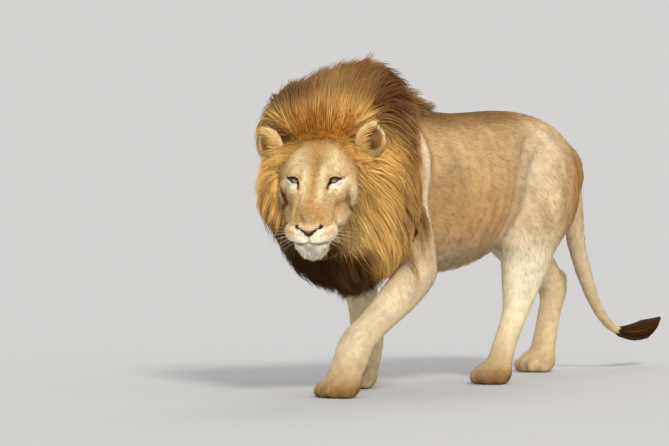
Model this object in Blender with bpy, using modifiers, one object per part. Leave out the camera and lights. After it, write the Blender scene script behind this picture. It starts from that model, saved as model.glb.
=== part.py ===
"""A walking male lion, life size, as solids: head, nose, jaw, eyes, ears, mane, trunk, legs, paws and tail.

The lion faces -Y with its left side at +X, and stands on the floor, Z = 0. Lengths are metres.
The flesh and the mane are fused from lofts and balls, thinned, and parted by thin cuts.
"""
import math

import bmesh
import bpy
import numpy as np
from mathutils import Euler, Matrix, Vector

# Driving dimensions.
BACK_TOP = 0.872          # height of the level back
BELLY = 0.385             # height of the belly under the ribs
CHEST_HALF_WIDTH = 0.205
LOIN_HALF_WIDTH = 0.165
RUMP_END = 0.655          # Y of the point of the buttock
HEAD_AT = (0.078, -0.872, 0.670)   # midpoint between the eyes
HEAD_YAW = math.radians(24)        # the head turns to its left
HEAD_PITCH = math.radians(24)      # and hangs a little
EYE_SPREAD = 0.0605       # an eyeball's distance from the middle of the face
EYE_RISE = 0.013          # and its height in the head's frame
EYE_RADIUS = 0.0200
EYE_DEPTH = 0.014         # how far an eyeball's centre lies behind the face
EAR_SPREAD = 0.154
EAR_RISE = {1: 0.078, -1: 0.062}   # the right ear hangs lower
EAR_LEAN = {1: 26, -1: 44}         # and leans further out, in degrees
CUT = 0.0005              # width of the saw cut between two parts
GAP = 0.0004              # gap between parts that meet on a curved face

BODY_VOXEL = 0.0075
HEAD_VOXEL = 0.0045
BODY_TRIANGLES = 3060
HEAD_TRIANGLES = 1680
MANE_TRIANGLES = 900

LEFT, RIGHT = 1, -1
SIDES = {"left": LEFT, "right": RIGHT}


# ---------------------------------------------------------------- tools

def clear_scene():
    for old in list(bpy.data.objects):
        bpy.data.objects.remove(old)


def new_collection(name):
    made = bpy.data.collections.new(name)
    bpy.context.scene.collection.children.link(made)
    return made


def object_of(name, bm):
    """An object of a bmesh, in the work collection."""
    mesh = bpy.data.meshes.new(name)
    bmesh.ops.recalc_face_normals(bm, faces=bm.faces)
    bm.to_mesh(mesh)
    bm.free()
    obj = bpy.data.objects.new(name, mesh)
    WORK.objects.link(obj)
    return obj


def smooth_rows(rows, steps):
    """Rows of numbers as a Catmull-Rom curve through them, with this many steps between two rows."""
    rows = np.array(rows, float)
    ends = np.vstack([2 * rows[0] - rows[1], rows, 2 * rows[-1] - rows[-2]])
    out = []
    for i in range(len(rows) - 1):
        a, b, c, d = ends[i:i + 4]
        for t in np.linspace(0, 1, steps, endpoint=False):
            out.append(0.5 * (2 * b + (c - a) * t + (2 * a - 5 * b + 4 * c - d) * t**2
                              + (3 * b - a - 3 * c + d) * t**3))
    out.append(rows[-1])
    return np.array(out)


def loft(name, rings, across=(1, 0, 0), across_end=None, corner=2.2, steps=5, sides=28):
    """A closed tube through rings (x, y, z, half width, half size towards front/top, the same the other way).

    A ring stands square to the path; its width runs along `across`, which turns towards `across_end`.
    `corner` 2 is an ellipse, more is squarer. Down a leg, an `across` of -X makes the front -Y.
    """
    rows = smooth_rows(rings, steps)
    rows[:, 3:] = np.maximum(rows[:, 3:], 0.004)
    tangents = np.gradient(rows[:, :3], axis=0)
    bm = bmesh.new()
    loops = []
    for t, (x, y, z, wide, fore, aft), tangent in zip(np.linspace(0, 1, len(rows)), rows, tangents):
        along = Vector(tangent).normalized()
        side = Vector(across).lerp(Vector(across_end or across), t)
        side = (side - along * side.dot(along)).normalized()
        front = side.cross(along)
        ring = []
        for k in range(sides):
            angle = 2 * math.pi * k / sides
            c, s = math.cos(angle), math.sin(angle)
            px = wide * math.copysign(abs(c) ** (2 / corner), c)
            pz = (fore if s > 0 else aft) * math.copysign(abs(s) ** (2 / corner), s)
            ring.append(bm.verts.new(Vector((x, y, z)) + side * px + front * pz))
        loops.append(ring)
    for a, b in zip(loops, loops[1:]):
        for k in range(sides):
            bm.faces.new((a[k], a[(k + 1) % sides], b[(k + 1) % sides], b[k]))
    bm.faces.new(loops[0])
    bm.faces.new(list(reversed(loops[-1])))
    return object_of(name, bm)


def ball(name, centre, radii, turn=(0, 0, 0)):
    """An ellipsoid, turned by degrees about X, Y and Z."""
    bm = bmesh.new()
    bmesh.ops.create_uvsphere(bm, u_segments=28, v_segments=18, radius=1)
    place = (Matrix.Translation(centre) @ Euler([math.radians(a) for a in turn]).to_matrix().to_4x4()
             @ Matrix.Diagonal((*radii, 1)))
    bmesh.ops.transform(bm, matrix=place, verts=bm.verts)
    return object_of(name, bm)


def bake(obj):
    """Applies an object's modifiers."""
    graph = bpy.context.evaluated_depsgraph_get()
    mesh = bpy.data.meshes.new_from_object(obj.evaluated_get(graph))
    obj.modifiers.clear()
    obj.data = mesh
    return obj


def fuse(name, pieces, voxel, rounds, stay=None):
    """One closed skin round overlapping pieces: a voxel remesh, then smoothing, less of it where stay() says so."""
    bm = bmesh.new()
    for piece in pieces:
        bm.from_mesh(piece.data)
        bpy.data.objects.remove(piece)
    whole = object_of(name, bm)
    remesh = whole.modifiers.new("Remesh", "REMESH")
    remesh.mode = "VOXEL"
    remesh.voxel_size = voxel
    bake(whole)
    group = whole.vertex_groups.new(name="soft")
    for vertex in whole.data.vertices:
        group.add([vertex.index], 1.0 if stay is None else 1.0 - stay(vertex.co), "REPLACE")
    soften = whole.modifiers.new("Smooth", "SMOOTH")
    soften.factor = 0.5
    soften.iterations = rounds
    soften.vertex_group = "soft"
    bake(whole)
    whole.vertex_groups.clear()
    return whole


def thin_out(obj, triangles):
    """Decimates to about this many triangles."""
    now = sum(len(p.vertices) - 2 for p in obj.data.polygons)
    fewer = obj.modifiers.new("Decimate", "DECIMATE")
    fewer.ratio = triangles / now
    fewer.use_collapse_triangulate = True
    return bake(obj)


def press(obj, centre, radii, move):
    """Moves the skin within an ellipsoid by `move`, fading to nothing at its edge."""
    centre, radii, move = Vector(centre), Vector(radii), Vector(move)
    for vertex in obj.data.vertices:
        away = vertex.co - centre
        r2 = sum((a / r) ** 2 for a, r in zip(away, radii))
        if r2 < 1:
            vertex.co += move * (1 - r2) ** 2


def press_pair(obj, centre, radii, move):
    """The same on both sides of the middle plane."""
    for side in SIDES.values():
        press(obj, (centre[0] * side, *centre[1:]), radii, (move[0] * side, *move[1:]))


def boolean(obj, other, operation="DIFFERENCE"):
    step = obj.modifiers.new("Boolean", "BOOLEAN")
    step.operation = operation
    step.object = other
    return bake(obj)


def grown(obj, by):
    """A copy that is larger by `by` all round, as a cutter."""
    copy = bpy.data.objects.new(obj.name + "_cutter", obj.data.copy())
    CUTTERS.objects.link(copy)
    swell = copy.modifiers.new("Displace", "DISPLACE")
    swell.strength = by
    swell.mid_level = 0
    bake(copy)
    copy.hide_render = True
    copy.display_type = "WIRE"
    return copy


def block(name, centre, size, turn=(0, 0, 0)):
    """A box cutter."""
    bm = bmesh.new()
    bmesh.ops.create_cube(bm, size=1)
    place = (Matrix.Translation(centre) @ Euler([math.radians(a) for a in turn]).to_matrix().to_4x4()
             @ Matrix.Diagonal((*size, 1)))
    bmesh.ops.transform(bm, matrix=place, verts=bm.verts)
    cutter = object_of(name, bm)
    cutter.hide_render = True
    cutter.display_type = "WIRE"
    return cutter


def saw(obj, centre, normal, radius):
    """One thin round cut through the part, square to `normal`."""
    bm = bmesh.new()
    bmesh.ops.create_cone(bm, cap_ends=True, segments=20, radius1=radius, radius2=radius, depth=CUT)
    turn = Vector(normal).to_track_quat("Z", "Y").to_matrix().to_4x4()
    bmesh.ops.transform(bm, matrix=Matrix.Translation(centre) @ turn, verts=bm.verts)
    disc = object_of("saw", bm)
    boolean(obj, disc)
    bpy.data.objects.remove(disc)


# ---------------------------------------------------------------- body

def trunk():
    """Rib cage, belly, loin and rump. The rings run from the breast to the buttocks."""
    def ring(y, half_width, top, bottom, widest=0.5):
        middle = bottom + (top - bottom) * widest
        return (0, y, middle, half_width, top - middle, middle - bottom)

    rings = [
        ring(-0.62, 0.06, 0.76, 0.46),
        ring(-0.58, 0.12, 0.83, 0.40),
        ring(-0.48, 0.175, 0.87, 0.355),
        ring(-0.34, CHEST_HALF_WIDTH - 0.008, 0.885, 0.345),
        ring(-0.18, CHEST_HALF_WIDTH, BACK_TOP, 0.350),
        ring(-0.02, CHEST_HALF_WIDTH + 0.004, BACK_TOP - 0.006, 0.370),
        ring(0.12, 0.188, BACK_TOP - 0.004, 0.418),
        ring(0.25, LOIN_HALF_WIDTH, BACK_TOP - 0.002, 0.468),
        ring(0.38, 0.162, BACK_TOP - 0.012, 0.50),
        ring(0.50, 0.142, 0.826, 0.53),
        ring(0.60, 0.100, 0.765, 0.58),
        ring(0.66, 0.045, 0.715, 0.64),
    ]
    return loft("trunk", rings, corner=2.15, sides=36)


def foreleg(side, elbow, wrist, ball_of_paw, toe, blade_top, shoulder):
    """Shoulder blade, upper arm, forearm and paw. Each ring's width runs sideways."""
    blade = loft("blade", across=(-1, 0, 0), rings=[
        (*blade_top, 0.020, 0.050, 0.060),
        (*blade_top.lerp(shoulder, 0.25), 0.045, 0.085, 0.095),
        (*blade_top.lerp(shoulder, 0.6), 0.060, 0.095, 0.115),
        (*shoulder, 0.062, 0.080, 0.105),
        (*shoulder.lerp(elbow, 0.5), 0.062, 0.080, 0.095),
        (*elbow, 0.050, 0.060, 0.062),
        (*elbow.lerp(wrist, 0.12), 0.036, 0.040, 0.040),
    ])
    arm = loft("forearm", across=(-1, 0, 0), steps=6, rings=[
        (*shoulder.lerp(elbow, 0.75), 0.040, 0.050, 0.045),
        (*elbow, 0.056, 0.062, 0.066),
        (*elbow.lerp(wrist, 0.22), 0.058, 0.058, 0.079),
        (*elbow.lerp(wrist, 0.5), 0.054, 0.051, 0.070),
        (*elbow.lerp(wrist, 0.8), 0.051, 0.048, 0.053),
        (*wrist, 0.057, 0.056, 0.050),
        (*wrist.lerp(ball_of_paw, 0.5), 0.060, 0.054, 0.050),
        (*ball_of_paw, 0.062, 0.044, 0.040),
    ])
    point = ball("elbow_point", elbow + Vector((0.006 * side, 0.036, 0.016)), (0.026, 0.034, 0.040))
    return [blade, arm, point] + paw(side, ball_of_paw, toe, 0.070)


def paw(side, ball_of_paw, toe, half_width):
    """A broad pad with four toes fanned in front of it."""
    forward = toe - ball_of_paw
    reach = forward.length
    flat = Vector((forward.x, forward.y, 0)).normalized()
    across = Vector((-flat.y, flat.x, 0))
    heading = math.degrees(math.atan2(flat.x, -flat.y))
    pieces = [ball("pad", Vector((*ball_of_paw.lerp(toe, 0.12).xy, 0.036)),
                   (half_width * 0.86, 0.064, 0.048), (0, 0, heading))]
    for k, (sideways, ahead) in enumerate(((-0.74, 0.62), (-0.26, 0.86), (0.26, 0.86), (0.74, 0.62))):
        root = ball_of_paw + across * half_width * sideways + flat * reach * ahead
        root.z = 0.023
        pieces.append(ball(f"toe_{k}", root, (0.0205, 0.042, 0.031), (0, 0, heading + 9 * sideways)))
        knuckle = root - flat * 0.030
        knuckle.z = 0.042
        pieces.append(ball(f"knuckle_{k}", knuckle, (0.0200, 0.036, 0.028), (-14, 0, heading)))
    return pieces


def hindleg(side, hip, stifle, hock, ball_of_paw, toe, calf):
    """Thigh, shank, hock, foot and paw. `calf` is the thickness of the shank, 1 with the weight on it."""
    thigh = loft("thigh", across=(-1, 0, 0), steps=6, rings=[
        (*(hip + Vector((-0.030 * side, 0, 0.060))), 0.040, 0.085, 0.060),
        (*(hip + Vector((-0.005 * side, 0.0, 0.03))), 0.078, 0.140, 0.130),
        (*hip.lerp(stifle, 0.25), 0.088, 0.165, 0.185),
        (*hip.lerp(stifle, 0.6), 0.084, 0.150, 0.156),
        (*stifle, 0.071, 0.126, 0.130),
        (*stifle.lerp(hock, 0.35), 0.064 * calf, 0.098 * calf, 0.126 * calf),
        (*stifle.lerp(hock, 0.7), 0.054 * calf, 0.078 * calf, 0.088 * calf),
        (*hock, 0.046, 0.062, 0.060),
    ])
    foot = loft("foot", across=(-1, 0, 0), steps=6, rings=[
        (*stifle.lerp(hock, 0.8), 0.036, 0.050, 0.046),
        (*hock, 0.043, 0.056, 0.056),
        (*hock.lerp(ball_of_paw, 0.3), 0.041, 0.046, 0.044),
        (*hock.lerp(ball_of_paw, 0.7), 0.044, 0.038, 0.036),
        (*ball_of_paw, 0.050, 0.034, 0.034),
    ])
    heel = ball("heel", hock + Vector((0, 0.036, 0.020)), (0.029, 0.032, 0.048), (-20, 0, 0))
    seat = ball("seat", hip + Vector((-0.022 * side, 0.105, -0.030)), (0.064, 0.110, 0.112), (-16, 0, 0))
    return [thigh, foot, heel, seat] + paw(side, ball_of_paw, toe, 0.061)


TAIL_PATH = [
    (0, 0.56, 0.750, 0.052), (0, 0.650, 0.712, 0.050), (0, 0.708, 0.636, 0.044), (0, 0.732, 0.540, 0.039),
    (0.001, 0.748, 0.430, 0.036), (0.006, 0.798, 0.310, 0.031), (0.012, 0.856, 0.215, 0.026),
    (0.019, 0.928, 0.148, 0.022), (0.025, 1.000, 0.120, 0.019),
]
TUFT_PATH = [
    (0.025, 0.995, 0.121, 0.019), (0.030, 1.050, 0.117, 0.028), (0.036, 1.105, 0.122, 0.036),
    (0.043, 1.160, 0.140, 0.029), (0.049, 1.205, 0.162, 0.010),
]


def tail():
    rings = [(x, y, z, r, r, r) for x, y, z, r in TAIL_PATH]
    tuft = [(x, y, z, r, r, r) for x, y, z, r in TUFT_PATH]
    return [loft("tail", rings, corner=2, sides=20), loft("tuft", tuft, corner=2, sides=20)]


FORE_LEFT = dict(blade_top=Vector((0.095, -0.335, 0.810)), shoulder=Vector((0.150, -0.500, 0.560)),
                 elbow=Vector((0.172, -0.440, 0.385)), wrist=Vector((0.124, -0.716, 0.168)),
                 ball_of_paw=Vector((0.116, -0.780, 0.060)), toe=Vector((0.110, -0.840, 0.030)))
FORE_RIGHT = dict(blade_top=Vector((-0.085, -0.320, 0.850)), shoulder=Vector((-0.155, -0.460, 0.600)),
                  elbow=Vector((-0.172, -0.300, 0.445)), wrist=Vector((-0.124, -0.292, 0.150)),
                  ball_of_paw=Vector((-0.120, -0.330, 0.054)), toe=Vector((-0.120, -0.415, 0.030)))
HIND_LEFT = dict(hip=Vector((0.098, 0.430, 0.680)), stifle=Vector((0.140, 0.228, 0.450)),
                 hock=Vector((0.133, 0.182, 0.245)), ball_of_paw=Vector((0.122, 0.085, 0.052)),
                 toe=Vector((0.120, 0.010, 0.030)), calf=1.0)
HIND_RIGHT = dict(hip=Vector((-0.098, 0.450, 0.680)), stifle=Vector((-0.142, 0.580, 0.475)),
                  hock=Vector((-0.128, 0.820, 0.272)), ball_of_paw=Vector((-0.122, 0.735, 0.052)),
                  toe=Vector((-0.122, 0.655, 0.030)), calf=0.82)


def body():
    """The flesh behind the mane, fused, smoothed less towards the paws, and flat on the floor."""
    pieces = [trunk(), *tail()]
    pieces += foreleg(LEFT, **FORE_LEFT)
    pieces += foreleg(RIGHT, **FORE_RIGHT)
    pieces += hindleg(LEFT, **HIND_LEFT)
    pieces += hindleg(RIGHT, **HIND_RIGHT)
    whole = fuse("body", pieces, BODY_VOXEL, 22,
                 stay=lambda p: 0.9 * min(1.0, max(0.0, (0.22 - p.z) / 0.14)))
    for side, leg in ((LEFT, HIND_LEFT), (RIGHT, HIND_RIGHT)):
        flank = leg["hip"] + Vector((0.085 * side, -0.185, -0.02))
        press(whole, flank, (0.10, 0.10, 0.16), (-0.022 * side, 0, 0))
    thin_out(whole, BODY_TRIANGLES)
    floor = block("floor", (0, 0, -0.5), (4, 4, 1))
    boolean(whole, floor)
    bpy.data.objects.remove(floor)
    return whole


# ---------------------------------------------------------------- head

def head_place():
    """From the head's own frame (facing -Y, origin between the eyes) to the lion's."""
    turn = Matrix.Rotation(HEAD_YAW, 4, "Z") @ Matrix.Rotation(HEAD_PITCH, 4, "X")
    return Matrix.Translation(HEAD_AT) @ turn


CROWN_BASE = 0.69
CROWN = [(-0.60, 1.12), (-0.55, 1.08), (-0.51, 1.00), (-0.47, 0.905), (-0.42, 0.89), (-0.34, 0.89), (-0.28, 0.925),
         (-0.20, 0.94), (-0.15, 0.91), (-0.12, 0.85), (-0.09, 0.90), (-0.04, 0.97), (0.0, 1.0)]
# How far the mane's right side is drawn in at each height: hollow under the ear, full at the cheek, slim by the chin.
SLIM = [(0.42, 0.034), (0.47, 0.033), (0.52, 0.029), (0.565, 0.014), (0.626, 0.018), (0.672, 0.036), (0.712, 0.044),
        (0.735, 0.042), (0.775, 0.010), (0.80, 0.0)]


def skull():
    """Face, forehead and jaw as one loft from the nose to the nape, with its pads and bones as balls."""
    def ring(y, top, bottom, half_width, widest):
        return (0, y, widest, half_width, top - widest, widest - bottom)

    rings = [
        ring(-0.186, -0.050, -0.120, 0.034, -0.085),
        ring(-0.172, -0.036, -0.150, 0.058, -0.094),
        ring(-0.140, -0.020, -0.170, 0.070, -0.100),
        ring(-0.100, -0.004, -0.178, 0.072, -0.094),
        ring(-0.060, 0.014, -0.180, 0.076, -0.080),
        ring(-0.020, 0.034, -0.180, 0.098, -0.055),
        ring(0.020, 0.056, -0.176, 0.118, -0.040),
        ring(0.060, 0.076, -0.170, 0.126, -0.030),
        ring(0.100, 0.088, -0.160, 0.122, -0.020),
        ring(0.150, 0.082, -0.130, 0.100, -0.015),
        ring(0.200, 0.050, -0.080, 0.060, -0.010),
    ]
    pieces = [loft("skull", rings, corner=2.25, sides=40)]
    pieces.append(ball("bridge", (0, -0.095, -0.020), (0.040, 0.100, 0.022), (23, 0, 0)))
    pieces.append(ball("chin", (0, -0.138, -0.162), (0.050, 0.038, 0.032)))
    for side in SIDES.values():
        pieces.append(ball("pad", (0.039 * side, -0.144, -0.102), (0.045, 0.047, 0.038), (12, 0, 14 * side)))
        pieces.append(ball("brow", (0.052 * side, 0.012, 0.030), (0.036, 0.034, 0.022), (0, 10 * side, 0)))
        pieces.append(ball("cheek", (0.090 * side, 0.020, -0.040), (0.034, 0.062, 0.034)))
        pieces.append(ball("jaw_muscle", (0.082 * side, 0.070, -0.095), (0.044, 0.080, 0.060)))
    whole = fuse("head", pieces, HEAD_VOXEL, 9)
    press_pair(whole, (0.060, -0.030, 0.009), (0.034, 0.040, 0.026), (0, 0.011, 0))
    press_pair(whole, (0.078, -0.070, -0.066), (0.030, 0.050, 0.034), (-0.010, 0, 0))
    press(whole, (0, -0.005, 0.052), (0.022, 0.06, 0.05), (0, 0.004, -0.004))
    return whole


def face_socket(head, x, z, place):
    """The face's surface at (x, z) in the head's frame, which is the depth of the skin there."""
    inverse = place.inverted()
    start, towards = place @ Vector((x, -0.4, z)), place.to_3x3() @ Vector((0, 1, 0))
    hit, where, _, _ = head.ray_cast(start, towards)
    return inverse @ where if hit else Vector((x, 0, z))


def settle(obj):
    """Scales the mane's height above the face, from the line u = 0.84 x + 0.55 y: a long slope over the right ear.

    It also draws in the right side and the edge on the left shoulder."""
    lines, ratios = zip(*CROWN)
    for vertex in obj.data.vertices:
        p = vertex.co
        if p.z > CROWN_BASE:
            ratio = float(np.interp(0.839 * p.x + 0.545 * p.y, lines, ratios))
            share = min(1.0, max(0.0, (-0.38 - p.y) / 0.08))
            p.z = CROWN_BASE + (p.z - CROWN_BASE) * (1 + (ratio - 1) * share)
        heights, draws = zip(*SLIM)
        share = np.interp(p.x, (-0.17, -0.08), (1, 0)) * np.interp(p.y, (-0.62, -0.50), (1, 0))
        p.x += float(np.interp(p.z, heights, draws)) * share
        share = np.interp(p.x, (0.06, 0.15), (0, 1)) * np.interp(p.y, (-0.56, -0.42), (0, 1))
        p.y -= 0.045 * share * float(np.interp(p.z, (0.72, 0.82), (1, 0)))


def mane_envelope():
    """The mane out to its hair tips: from the face back over neck, chest and shoulders, with a tail of hair on the back."""
    face = head_place().to_3x3() @ Vector((1, 0, 0))
    rings = [
        (0.058, -0.838, 0.692, 0.142, 0.110, 0.165),
        (0.042, -0.805, 0.692, 0.196, 0.200, 0.215),
        (0.024, -0.755, 0.690, 0.230, 0.292, 0.275),
        (0.010, -0.665, 0.682, 0.250, 0.362, 0.335),
        (0.002, -0.570, 0.672, 0.250, 0.388, 0.345),
        (0.000, -0.485, 0.664, 0.236, 0.372, 0.300),
        (0.000, -0.420, 0.664, 0.195, 0.312, 0.210),
        (0.000, -0.380, 0.664, 0.100, 0.225, 0.100),
    ]
    pieces = [loft("mane", rings, across=face, across_end=(1, 0, 0), corner=2.25, sides=36)]
    pieces.append(loft("withers_hair", [
        (0, -0.46, 0.905, 0.125, 0.100, 0.060),
        (0, -0.37, 0.895, 0.100, 0.070, 0.050),
        (0, -0.24, 0.878, 0.060, 0.034, 0.040),
        (0, -0.11, 0.866, 0.020, 0.012, 0.020),
    ]))
    place = head_place()
    pieces.append(ball("beard", place @ Vector((0, -0.045, -0.190)), (0.080, 0.075, 0.050), (24, 0, 26)))
    whole = fuse("mane", pieces, 0.010, 12)
    settle(whole)
    back = place.to_3x3() @ Vector((0, 1, 0))
    for side in SIDES.values():
        press(whole, place @ Vector((EAR_SPREAD * side, 0.060, EAR_RISE[side] + 0.004)), (0.115, 0.125, 0.100),
              back * 0.072)
    return thin_out(whole, MANE_TRIANGLES)


def ear(side, place):
    """A round cup open to the front and outside."""
    at = place @ Matrix.Translation((EAR_SPREAD * side, 0.105, EAR_RISE[side])) @ Euler(
        (math.radians(-14), math.radians(EAR_LEAN[side] * side), math.radians(26 * side))).to_matrix().to_4x4()
    cup = ball("cup", (0, 0, 0), (0.049, 0.024, 0.053))
    hollow = ball("hollow", (0, -0.020, 0.006), (0.039, 0.030, 0.042))
    boolean(cup, hollow)
    bpy.data.objects.remove(hollow)
    root = ball("root", (0, 0.012, -0.040), (0.030, 0.024, 0.026))
    boolean(cup, root, "UNION")
    bpy.data.objects.remove(root)
    cup.data.transform(at)
    return thin_out(cup, 300)


def largest_apart(obj, seeds):
    """Parts the object's loose bodies, each named after the seed point nearest its middle."""
    bm = bmesh.new()
    bm.from_mesh(obj.data)
    left = set(bm.verts)
    bodies = []
    while left:
        stack, seen = [left.pop()], []
        while stack:
            vertex = stack.pop()
            seen.append(vertex)
            for edge in vertex.link_edges:
                other = edge.other_vert(vertex)
                if other in left:
                    left.discard(other)
                    stack.append(other)
        bodies.append(seen)
    made = {}
    bodies.sort(key=len, reverse=True)
    for seen in bodies:
        if len(seen) < 16:
            continue
        low = Vector([min(v.co[i] for v in seen) for i in range(3)])
        high = Vector([max(v.co[i] for v in seen) for i in range(3)])
        middle = (low + high) / 2
        name = min(seeds, key=lambda key: (Vector(seeds[key]) - middle).length)
        if name in made:
            print("two bodies near", name, len(seen), tuple(round(c, 3) for c in middle))
            continue
        index = {v: i for i, v in enumerate(seen)}
        faces = {f for v in seen for f in v.link_faces}
        mesh = bpy.data.meshes.new(name)
        mesh.from_pydata([v.co.copy() for v in seen], [], [[index[v] for v in f.verts] for f in faces])
        made[name] = bpy.data.objects.new(name, mesh)
    bm.free()
    bpy.data.objects.remove(obj)
    return made


SKIN_TAN, SKIN_PALE, DARK = (0.45, 0.29, 0.14, 1), (0.62, 0.48, 0.30, 1), (0.06, 0.035, 0.02, 1)
COLOURS = {
    "head": SKIN_PALE, "jaw": (0.75, 0.68, 0.56, 1), "nose": (0.30, 0.17, 0.13, 1),
    "eye_left": (0.55, 0.45, 0.22, 1), "eye_right": (0.55, 0.45, 0.22, 1),
    "ear_left": (0.50, 0.36, 0.20, 1), "ear_right": (0.50, 0.36, 0.20, 1),
    "mane": (0.30, 0.14, 0.05, 1), "tail_tuft": DARK,
}


def finish(nodes):
    """Puts the parts in their collection with a material each, and stands the lion on the origin."""
    points = np.array([v.co for obj in nodes.values() for v in obj.data.vertices])
    low, high = points.min(axis=0), points.max(axis=0)
    move = Vector((-(low[0] + high[0]) / 2, -(low[1] + high[1]) / 2, -low[2]))
    shift = Matrix.Translation(move)
    for name, obj in nodes.items():
        obj.name = obj.data.name = name
        for collection in list(obj.users_collection):
            collection.objects.unlink(obj)
        LION.objects.link(obj)
        obj.data.transform(shift)
        for polygon in obj.data.polygons:
            polygon.use_smooth = False
        material = bpy.data.materials.new(name)
        material.use_nodes = True
        surface = material.node_tree.nodes["Principled BSDF"]
        surface.inputs["Base Color"].default_value = COLOURS.get(name, SKIN_TAN)
        surface.inputs["Roughness"].default_value = 0.3 if "eye" in name or name == "nose" else 0.85
        obj.data.materials.clear()
        obj.data.materials.append(material)
    return move


def between(a, b, t):
    return Vector(a).lerp(Vector(b), t)


clear_scene()
LION = new_collection("lion")
WORK = new_collection("work")
CUTTERS = new_collection("cutters")
CUTTERS.hide_render = True

PLACE = head_place()
TURN = PLACE.to_3x3()
nodes = {}

# The head, with its eyes and nose let in, and the mouth cut.
head = skull()
head.data.transform(PLACE)
thin_out(head, HEAD_TRIANGLES)
for key, side in SIDES.items():
    skin = face_socket(head, EYE_SPREAD * side, EYE_RISE, PLACE)
    eye = ball("eye", PLACE @ (skin + Vector((0, EYE_DEPTH, 0))), (EYE_RADIUS,) * 3)
    nodes["eye_" + key] = eye
tip = face_socket(head, 0, -0.084, PLACE)
nose = ball("nose", (0, 0, 0), (0.040, 0.020, 0.022), (-16, 0, 0))
nose.data.transform(PLACE @ Matrix.Translation(tip + Vector((0, 0.012, 0.002))))
nodes["nose"] = thin_out(nose, 200)
for key in ("eye_left", "eye_right"):
    thin_out(nodes[key], 220)
for key in ("eye_left", "eye_right", "nose"):
    boolean(head, grown(nodes[key], GAP))

# In front of the border plane the face is bare; behind it the mane takes over.
BORDER = PLACE @ Vector((0, 0.064, 0.0))
BORDER_NORMAL = (TURN @ Vector((0, 1, -0.58))).normalized()
behind = block("behind", (0, 0, 0.25), (0.8, 0.8, 0.5))
behind.data.transform(Matrix.Translation(BORDER) @ BORDER_NORMAL.to_track_quat("Z", "Y").to_matrix().to_4x4())
boolean(head, behind)
bpy.data.objects.remove(behind)

mane = mane_envelope()
for key, side in SIDES.items():
    nodes["ear_" + key] = ear(side, PLACE)
    for other in (mane, head):
        boolean(other, grown(nodes["ear_" + key], GAP))
boolean(mane, grown(head, GAP))
whole_body = body()
for wider in (0.0, GAP, 2 * GAP):
    boolean(whole_body, grown(mane, wider))

mouth = block("mouth", (0, -0.165, -0.126), (0.30, 0.234, CUT), (-5, 0, 0))
mouth.data.transform(PLACE)
boolean(head, mouth)
gullet = block("gullet", (0, -0.0505, -0.21), (0.30, CUT, 0.16))
gullet.data.transform(PLACE)
boolean(head, gullet)
for cutter in (mouth, gullet):
    bpy.data.objects.remove(cutter)
nodes.update(largest_apart(head, {"head": PLACE @ Vector((0, -0.05, -0.02)), "jaw": PLACE @ Vector((0, -0.12, -0.17))}))
nodes.update(largest_apart(mane, {"mane": (0, -0.6, 0.7)}))

# The legs and the tail, parted at their joints.
for leg in (FORE_LEFT, FORE_RIGHT):
    saw(whole_body, between(leg["elbow"], leg["wrist"], 0.40), leg["wrist"] - leg["elbow"], 0.11)
    saw(whole_body, between(leg["wrist"], leg["ball_of_paw"], 0.1), leg["ball_of_paw"] - leg["elbow"], 0.10)
saw(whole_body, between(HIND_LEFT["stifle"], HIND_LEFT["hock"], 0.36), (0, 0, -1), 0.15)
saw(whole_body, between(HIND_RIGHT["stifle"], HIND_RIGHT["hock"], 0.22), HIND_RIGHT["hock"] - HIND_RIGHT["stifle"], 0.17)
for leg in (HIND_LEFT, HIND_RIGHT):
    saw(whole_body, between(leg["hock"], leg["ball_of_paw"], 0.45), leg["ball_of_paw"] - leg["hock"], 0.09)
saw(whole_body, (0, 0.722, 0.605), (0, 0.30, -0.95), 0.065)
saw(whole_body, (0.026, 1.005, 0.120), (0.08, 1, -0.05), 0.05)
seeds = {"trunk": (0, 0.1, 0.62), "tail": (0.01, 0.84, 0.40), "tail_tuft": (0.035, 1.10, 0.135)}
for key, leg in (("left", FORE_LEFT), ("right", FORE_RIGHT)):
    seeds["forearm_" + key] = between(leg["elbow"], leg["wrist"], 0.75)
    seeds["forepaw_" + key] = between(leg["ball_of_paw"], leg["toe"], 0.3)
for key, leg in (("left", HIND_LEFT), ("right", HIND_RIGHT)):
    seeds["shank_" + key] = between(leg["stifle"], leg["hock"], 0.7)
    seeds["hind_paw_" + key] = between(leg["ball_of_paw"], leg["toe"], 0.2)
nodes.update(largest_apart(whole_body, seeds))
SHIFT = finish(nodes)
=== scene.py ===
"""The looks of the walking lion: skin, short coat, mane, eyes, nose, whiskers, light, floor and camera."""

import math

import bmesh
import bpy
import numpy as np
from mathutils import Euler, Matrix, Vector
from mathutils.bvhtree import BVHTree


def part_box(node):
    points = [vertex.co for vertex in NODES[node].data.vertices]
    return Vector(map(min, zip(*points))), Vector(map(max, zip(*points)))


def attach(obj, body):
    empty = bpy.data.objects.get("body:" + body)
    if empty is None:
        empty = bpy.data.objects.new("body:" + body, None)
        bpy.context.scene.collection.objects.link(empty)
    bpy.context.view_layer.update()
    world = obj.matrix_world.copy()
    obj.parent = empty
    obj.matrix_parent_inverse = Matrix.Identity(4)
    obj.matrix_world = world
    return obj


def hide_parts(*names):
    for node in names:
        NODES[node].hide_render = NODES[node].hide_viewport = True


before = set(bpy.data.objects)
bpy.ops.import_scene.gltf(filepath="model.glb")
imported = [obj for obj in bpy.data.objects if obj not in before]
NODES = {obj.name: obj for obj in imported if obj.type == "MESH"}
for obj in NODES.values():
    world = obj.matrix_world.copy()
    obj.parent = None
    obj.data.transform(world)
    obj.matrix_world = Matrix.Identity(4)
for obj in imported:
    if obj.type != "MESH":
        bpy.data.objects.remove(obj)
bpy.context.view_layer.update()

# ---------------------------------------------------------------- where things are (metres)

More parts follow.
